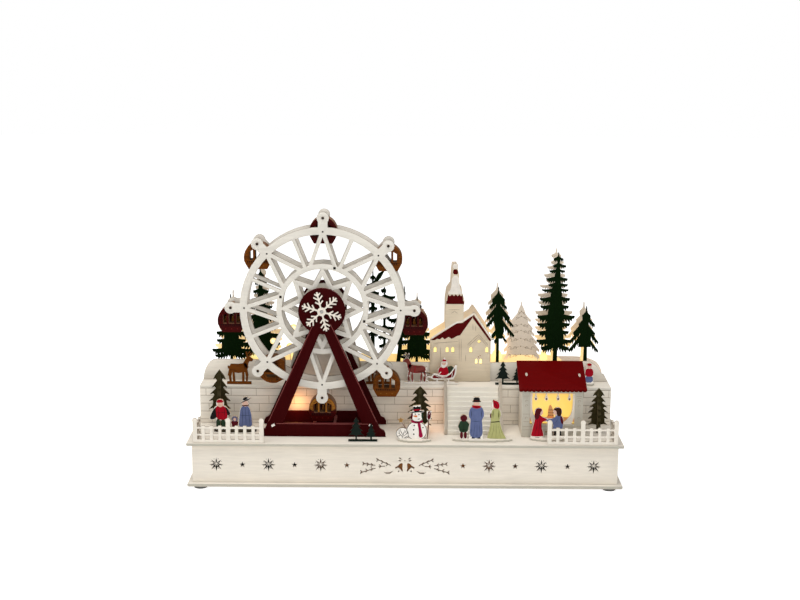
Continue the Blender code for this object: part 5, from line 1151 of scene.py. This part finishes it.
def lamp_glow():
    """The light above the hill, seen between the trees: patches of haze on the rear plate, and four lamps
    of the strip that show through the wheel."""
    haze = lit("lamp_haze", (0.9, 0.8, 0.5), (1, 0.80, 0.26), (1, 0.62, 0.26), 0.112, 0.121, 0.95, 0.62)
    spots = [(-172, -139), (-128, -70), (-8, 3), (17, 26), (94, 108), (148, 158)]
    bands = [rounded([(a, 106), (b, 106), (b - 2, 116), (a + (b - a) * 0.6, 119),
                      (a + (b - a) * 0.3, 118), (a + 2, 115)], 3) for a, b in spots]
    sawn("lamp_haze", "back_scene", bands, HAZE, haze, 0.03)
    halo = lit("lamp_halo", (1, 0.85, 0.5), (1, 0.62, 0.22), (1, 0.66, 0.26), 0.10, 0.16, 0.80, 0.80)
    bulb = lit("lamp_bulb", (1, 0.85, 0.5), (1, 0.84, 0.46), (1, 0.88, 0.52), 0.10, 0.16, 1.15, 1.15)
    wire = painted("lamp_wire", (0.30, 0.26, 0.20), (0.20, 0.17, 0.12), 0.5)
    places = [(-121.2, 149.3, 3.1), (-143.4, 134.3, 2.6), (-125.6, 128.5, 3), (-140.7, 118.2, 2.6)]
    halos = [ring(x, z, r * 1.35) for x, z, r in places]
    bulbs = [ring(x, z, r * 0.68) for x, z, r in places]
    wires = [stroke([(x, z), (x + 0.4, 113)], 0.5, 0) for x, z, _ in places]
    sawn("wheel_lamp_halos", "led_strip", halos, LAMP_HALOS, halo, 0.25)
    sawn("wheel_lamps", "led_strip", bulbs, LAMP_BULBS, bulb, 0.4)
    sawn("wheel_lamp_wires", "led_strip", wires, LAMP_WIRES, wire, 0.05)


BRICK = 27
COURSES = 4.3
STAIR_GAP = (41.5, 102.5)


def brick_wall():
    """Courses of bricks burnt lightly into the terrace wall, on both sides of the stairs."""
    near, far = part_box("terrace_wall")
    low, high = DECK / MM + 0.6, far.z / MM
    left, right = near.x / MM + 0.6, far.x / MM - 0.6
    course = (high - low) / COURSES
    tops = [high - course * k + course * 0.12 for k in range(5)]
    joints = [rect(a, z - 0.22, b, z + 0.22) for z in tops[1:] for a, b in ((left, 41), (103, right))]
    for k, top in enumerate(tops):
        shift = (k % 2) * BRICK / 2 + 3 * (k // 2)
        for x in np.arange(left + shift + 6, right, BRICK):
            if not STAIR_GAP[0] < x < STAIR_GAP[1]:
                joints.append(rect(x - 0.2, max(top - course, low), x + 0.2, min(top, high - 0.2)))
    paint_on("brick_joints", "terrace_wall", [(BURNT, joints)], near.y)


ORNAMENTS = (135.8, 146.8, 158.9, 170.7)
SWEETS = ((0.45, 0.02, 0.03), (0.36, 0.20, 0.06), (0.50, 0.10, 0.04), (0.10, 0.16, 0.06))


def roof_tabs(paint):
    """Two tabs on the stall's roof. Each is a disc on the point where a ray from the front meets the roof,
    and its points go back by the roof's slope: their height above that point times the normal's z over its
    y."""
    roof = frame["nodes"]["stall_roof"].data
    slope = BVHTree.FromPolygons([v.co for v in roof.vertices], [f.vertices[:] for f in roof.polygons])
    for k, (x, z) in enumerate(((127, 112.9), (182.5, 112.6))):
        spot, normal = slope.ray_cast(Vector((x * MM, -0.2, z * MM)), Vector((0, 1, 0)))[:2]
        near = spot.y / MM - 0.5
        disc = ring(x, z, 1.3, 1.1, 20)
        tab = sawn(f"roof_tab_{k + 1}", "stall_roof", [disc], (near, near + 0.8), paint, 0.15)
        corners = np.empty(len(tab.data.vertices) * 3)
        tab.data.vertices.foreach_get("co", corners)
        corners = corners.reshape(-1, 3)
        corners[:, 1] -= (corners[:, 2] - spot.z) * normal.z / normal.y
        tab.data.vertices.foreach_set("co", corners.ravel())
        tab.data.update()


def stall_finish():
    """Light, counter, brackets and hanging ornaments of the stall, and its burnt lines."""
    inside = lit("stall_light", (0.9, 0.75, 0.4), (1, 0.70, 0.14), (1, 0.46, 0.10), 0.078, 0.099, 0.74, 0.74)
    room = rect(125, 54, 181.3, 104)
    sawn("stall_light", "stall_body", [room], STALL_BACK, inside, 0.05)
    cream = painted("cream_trim", CREAM, SHADED_CREAM_CUT, 0.5)
    pieces = [rounded([(x - 0.4, 97.8), (x + 0.4, 97.8), (x + 1, 94), (x + 2.3, 91.4), (x, 88.6),
                       (x - 2.3, 91.4), (x - 1, 94)], 1) for x in ORNAMENTS]
    bracket = np.array(((0, 98), (2.8, 98), (2.2, 88), (3, 77), (7, 69.6), (12, 66), (12, 63.8),
                        (0, 63.8)))
    pieces += [rounded(bracket * (side, 1) + (edge, 0), 1) for side, edge in ((1, 129.8), (-1, 176.6))]
    sawn("stall_trim", "stall_body", pieces, STALL_TRIM, cream)
    cone = [(151, 64.4), (157.6, 64.4), (156.8, 72), (155, 77), (153.8, 78.6), (152.2, 76.6), (151.4, 72)]
    shelf = [rect(127, 60, 179.4, 64.6), rect(150.4, 64, 157.4, 66.2), rounded(cone, 1),
             rect(126.5, 64, 128.3, 98), rect(177.3, 64, 179.1, 98)]
    # Painted light: the counter and its posts glow warm from the stall's lamp
    warm = lit("stall_goods", (0.72, 0.42, 0.22), (1, 0.45, 0.14), (1, 0.45, 0.14), 0.06, 0.08, 0.25, 0.25)
    sawn("stall_goods", "stall_body", shelf, STALL_GOODS, warm)
    roof_tabs(cream)
    marks = [rect(123, 94.4, 128.6, 94.8), rect(123.4, 92.4, 128, 92.8), rect(178, 94.4, 183.4, 94.8),
             rect(178.6, 92.4, 183, 92.8), rect(122.4, 75, 129.4, 75.4), rect(123.4, 66.8, 129.2, 67.2),
             rect(122.4, 61.4, 184, 61.8), rect(122.4, 58, 184, 58.3)]
    marks += [curl(x, z, 1.7, 1, 4.6, 7, 0.45) for x in (126, 180.6) for z in (70.6, 84, 89)]
    marks += [ring(x, 56, 1.5, 1, 14) for x in np.arange(133, 176, 7.1)]
    paint_on("stall_marks", "stall_body", [(BURNT, marks)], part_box("stall_body")[0].y)
    dots = []
    for x in ORNAMENTS:
        dots.append(((0.10, 0.05, 0.03), ring(x, 91.2, 0.9, 1.1, 10)))
        dots.append(((0.55, 0.45, 0.30), ring(x, 93.6, 0.45, count=8)))
    goods = [(SWEETS[k % 4], ring(152.2 + 2.1 * (k % 3), 67 + 3 * (k // 3), 0.6, count=12))
             for k in range(9)]
    paint_on("ornament_marks", "stall_body", dots, ORNAMENT_FACE, ground=0.04, step=0.004, soft=0.05)
    paint_on("stall_goods_marks", "stall_body", goods, GOODS_FACE, ground=0.04, step=0.004, soft=0.05)


def wheel_marks():
    """Dark pin ends, the small burnt dots on the rim and the dark squares where the spacers come
    through."""
    hub = (AXLE.x, AXLE.z)
    rim = [round_place(80.7, pi / 2 + radians(-0.6) + k * tau / 8) for k in range(8)]
    spacers = [round_place(44.9, radians(73.6) + k * tau / 4) for k in range(4)]
    arms = [round_place(11, pi / 2 + radians(13.6) + k * tau / 6) for k in range(6)]
    dark = [ring(x, z, 0.95, count=14) for x, z in rim]
    dark += [rect(x - 1.3, z - 1.3, x + 1.3, z + 1.3) for x, z in spacers]
    pale = [ring(x, z, 0.35, count=8) for x, z in arms]
    disc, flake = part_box("wheel_front")[0].y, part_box("snowflake")[0].y
    paint_on("wheel_marks", "wheel_front", [((0.028, 0.022, 0.018), dark)], disc, hub, soft=0.05)
    paint_on("snowflake_marks", "snowflake", [((0.5, 0.44, 0.36), pale)], flake, hub, ground=0.04)


def car_drawing():
    """Sill band with its teeth, posts, roof lines and curls of one gondola, around its pin."""
    band = [rect(-11.8, -18.9, 11.8, -18.4), rect(-11.4, -21, 11.4, -20.7)]
    band += [rect(x - 0.5, -20.4, x + 0.5, -19) for x in np.arange(-10.4, 10.5, 1.9)]
    walls = [stroke([(side * 9.9, -16.8), (side * 9.9, -8.6)], 0.5, 0) for side in (-1, 1)]
    walls += [stroke([(side * 12.9, -16.8), (side * 13.2, -13)], 0.4, 0) for side in (-1, 1)]
    roof = [stroke([(side * 2, -3.6), (side * 9.8, -7.4)], 0.5, 0.1) for side in (-1, 1)]
    roof += [curl(side * 11.5, z, radius, side) for side in (-1, 1)
             for z, radius in ((-14.6, 1.25), (-11.4, 1))]
    return band + walls + roof


TURNED_CAR = 4
LAMPLIT_CAR = 5


def gondola_finish():
    """Burnt marks on the faces of the gondolas, dark pin ends and, in the red ones, a dark plate with its
    riders behind the windows, two of them with a painted highlight. The marks of one gondola are turned by
    a quarter, as it is, and one has amber paint on its dome and two posts, as painted lamp light."""
    back = painted("rider_plate", (0.030, 0.0015, 0.0015), (0.03, 0.002, 0.002), 0.6, grain=0.8, gloss=0.03)
    # The third, pale colour of the riders is a painted highlight on two of them
    riders = [((0.30, 0.115, 0.020), [ring(x, -16.2, 1.5, 2.4, 16) for x in (-6.6, 0.2, 6.4)]),
              ((0.42, 0.20, 0.055), [ring(x, -13.2, 0.9, 1.1, 12) for x in (-6.6, 0.2, 6.4)]),
              ((0.62, 0.52, 0.40), [ring(x, -11.4, 0.5, 0.7, 10) for x in (-5.6, 1.2)])]
    a = np.linspace(radians(4), radians(176), 25)
    dome = np.stack((13.9 * np.cos(a), -14.8 + 14.6 * np.sin(a)), axis=1)
    inner = ((-9.4, -16), (-9.4, -9), (-4.4, -6.4), (4.4, -6.4), (9.4, -9), (9.4, -16))
    front = [np.concatenate((dome, inner)), rect(-4.75, -17.2, -3.15, -6.9), rect(3.15, -17.2, 4.75, -6.9)]
    for number in range(1, 9):
        node = f"gondola_{number}"
        spot = (CAR_SPOTS[BODY_OF[node]].x, CAR_SPOTS[BODY_OF[node]].z)
        swing = turned(pi / 2 if number == TURNED_CAR else 0)
        brown = number % 2 == 0
        shade = (0.022, 0.006, 0.003) if brown else (0.012, 0.002, 0.002)
        bright = (0.33, 0.13, 0.025) if brown else (0.150, 0.018, 0.012)
        drawing = [(shade, car_drawing()), (bright, [ring(x, -23.6, 0.5, count=8) for x in (-6, 0, 6)])]
        # Painted lamp light: amber over the dome and posts of this gondola
        if number == LAMPLIT_CAR:
            drawing.insert(0, ((0.330, 0.130, 0.018), front))
        drawing = [(colour, [line @ swing for line in lines]) for colour, lines in drawing]
        pin = rect(-1, -1, 1, 1) @ swing
        paint_on(f"{node}_marks", node, drawing, CAR_FACE, spot, step=0.01, soft=0.04)
        paint_on(f"{node}_pin", node, [((0.030, 0.024, 0.02), pin)], PIN_END, spot, soft=0.1)
        if not brown:
            sawn(f"{node}_riders", node, [rect(-9, -18.6, 9, -6.2)], RIDER_PLATE, back, 0.1, spot=spot)
            paint_on(f"{node}_rider_paint", node, riders, RIDER_FACE, spot, step=0.02, soft=0.05)


STARS = (-195, -141, -87, 87, 141, 195)
STAR_LEVEL = 26.5


def base_finish():
    """The painted lamp light and shade behind the front panel, ribs and dots that make its stars, tabs and
    joints, and a painted shadow under the deck board's edge."""
    near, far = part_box("front_panel")
    front, back = near.y / MM, far.y / MM
    frame_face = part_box("frame_front")[0].y
    # A sheet behind the front panel with painted lamp light about the middle and painted shade toward the ends
    glow_sheet = panel_glow_sheet()
    sawn("panel_glow_sheet", "front_panel", [rect(-216, 8, 216, 45)], (back + 0.05, back + 0.6), glow_sheet, 0.05)
    ribs, dots = [], []
    for x in STARS:
        for k in range(8):
            a = pi / 8 + k * pi / 4
            line = np.array((x, STAR_LEVEL)) + np.outer((0, 1.4, 2.8), (cos(a), sin(a)))
            ribs.append(stroke(line, 0.42, 0))
            dots.append(ring(x + 5.6 * cos(a), STAR_LEVEL + 5.6 * sin(a), 0.36, count=8))
    cream = painted("cream_rib", CREAM, SHADED_CREAM_CUT, 0.5)
    sawn("star_ribs", "front_panel", ribs, (front + 0.02, front + 1.2), cream, 0.02, stagger=0.005)
    paint_on("star_dots", "front_panel", [((0.030, 0.018, 0.010), dots)], near.y, ground=0.03)
    edge = painted("frame_edge", (0.36, 0.150, 0.135), (0.24, 0.08, 0.07), 0.5, gloss=0.05)
    ties = [rect(x - 1.4, 58.2, x + 1.4, 60.8) for x in (-95.6, -74.3)]
    sawn("frame_ties", "frame_front", ties, FRAME_TIES, edge, 0.2)
    # Light lines on the frame's upper edges: the bare edge, brightened as a painted highlight
    lines = [stroke([(-134, 64.1), (-38, 64.1)], 0.5, 0), stroke([(-94.6, 171), (-142.1, 66.5)], 0.4, 0),
             stroke([(-77.4, 171), (-29.9, 66.5)], 0.4, 0)]
    paint_on("frame_lines", "frame_front", [((0.30, 0.095, 0.085), lines)], frame_face, ground=0.04)
    # A painted shadow line under the deck board's front edge
    paint_on("deck_shadow_line", "front_panel", [((0.25, 0.23, 0.19), rect(-219.4, 46.05, 219.4, 46.65))], near.y)
    tab = rect(-1.9, -1.2, 1.9, 1.2)
    tabs = [tab @ turned(0.5) + (-137.6, 62.2), tab @ turned(-0.5) + (-35.8, 62.4)]
    paint_on("frame_tabs", "frame_front", [(SNOW, tabs)], frame_face, ground=0.06, soft=0.04)


build_studio()
finish_plates()
finish_hardware()
scene_trees()
back_layer()
pale_tree_marks()
church_finish()
lamp_glow()
brick_wall()
stall_finish()
wheel_marks()
gondola_finish()
base_finish()
paint_figures()
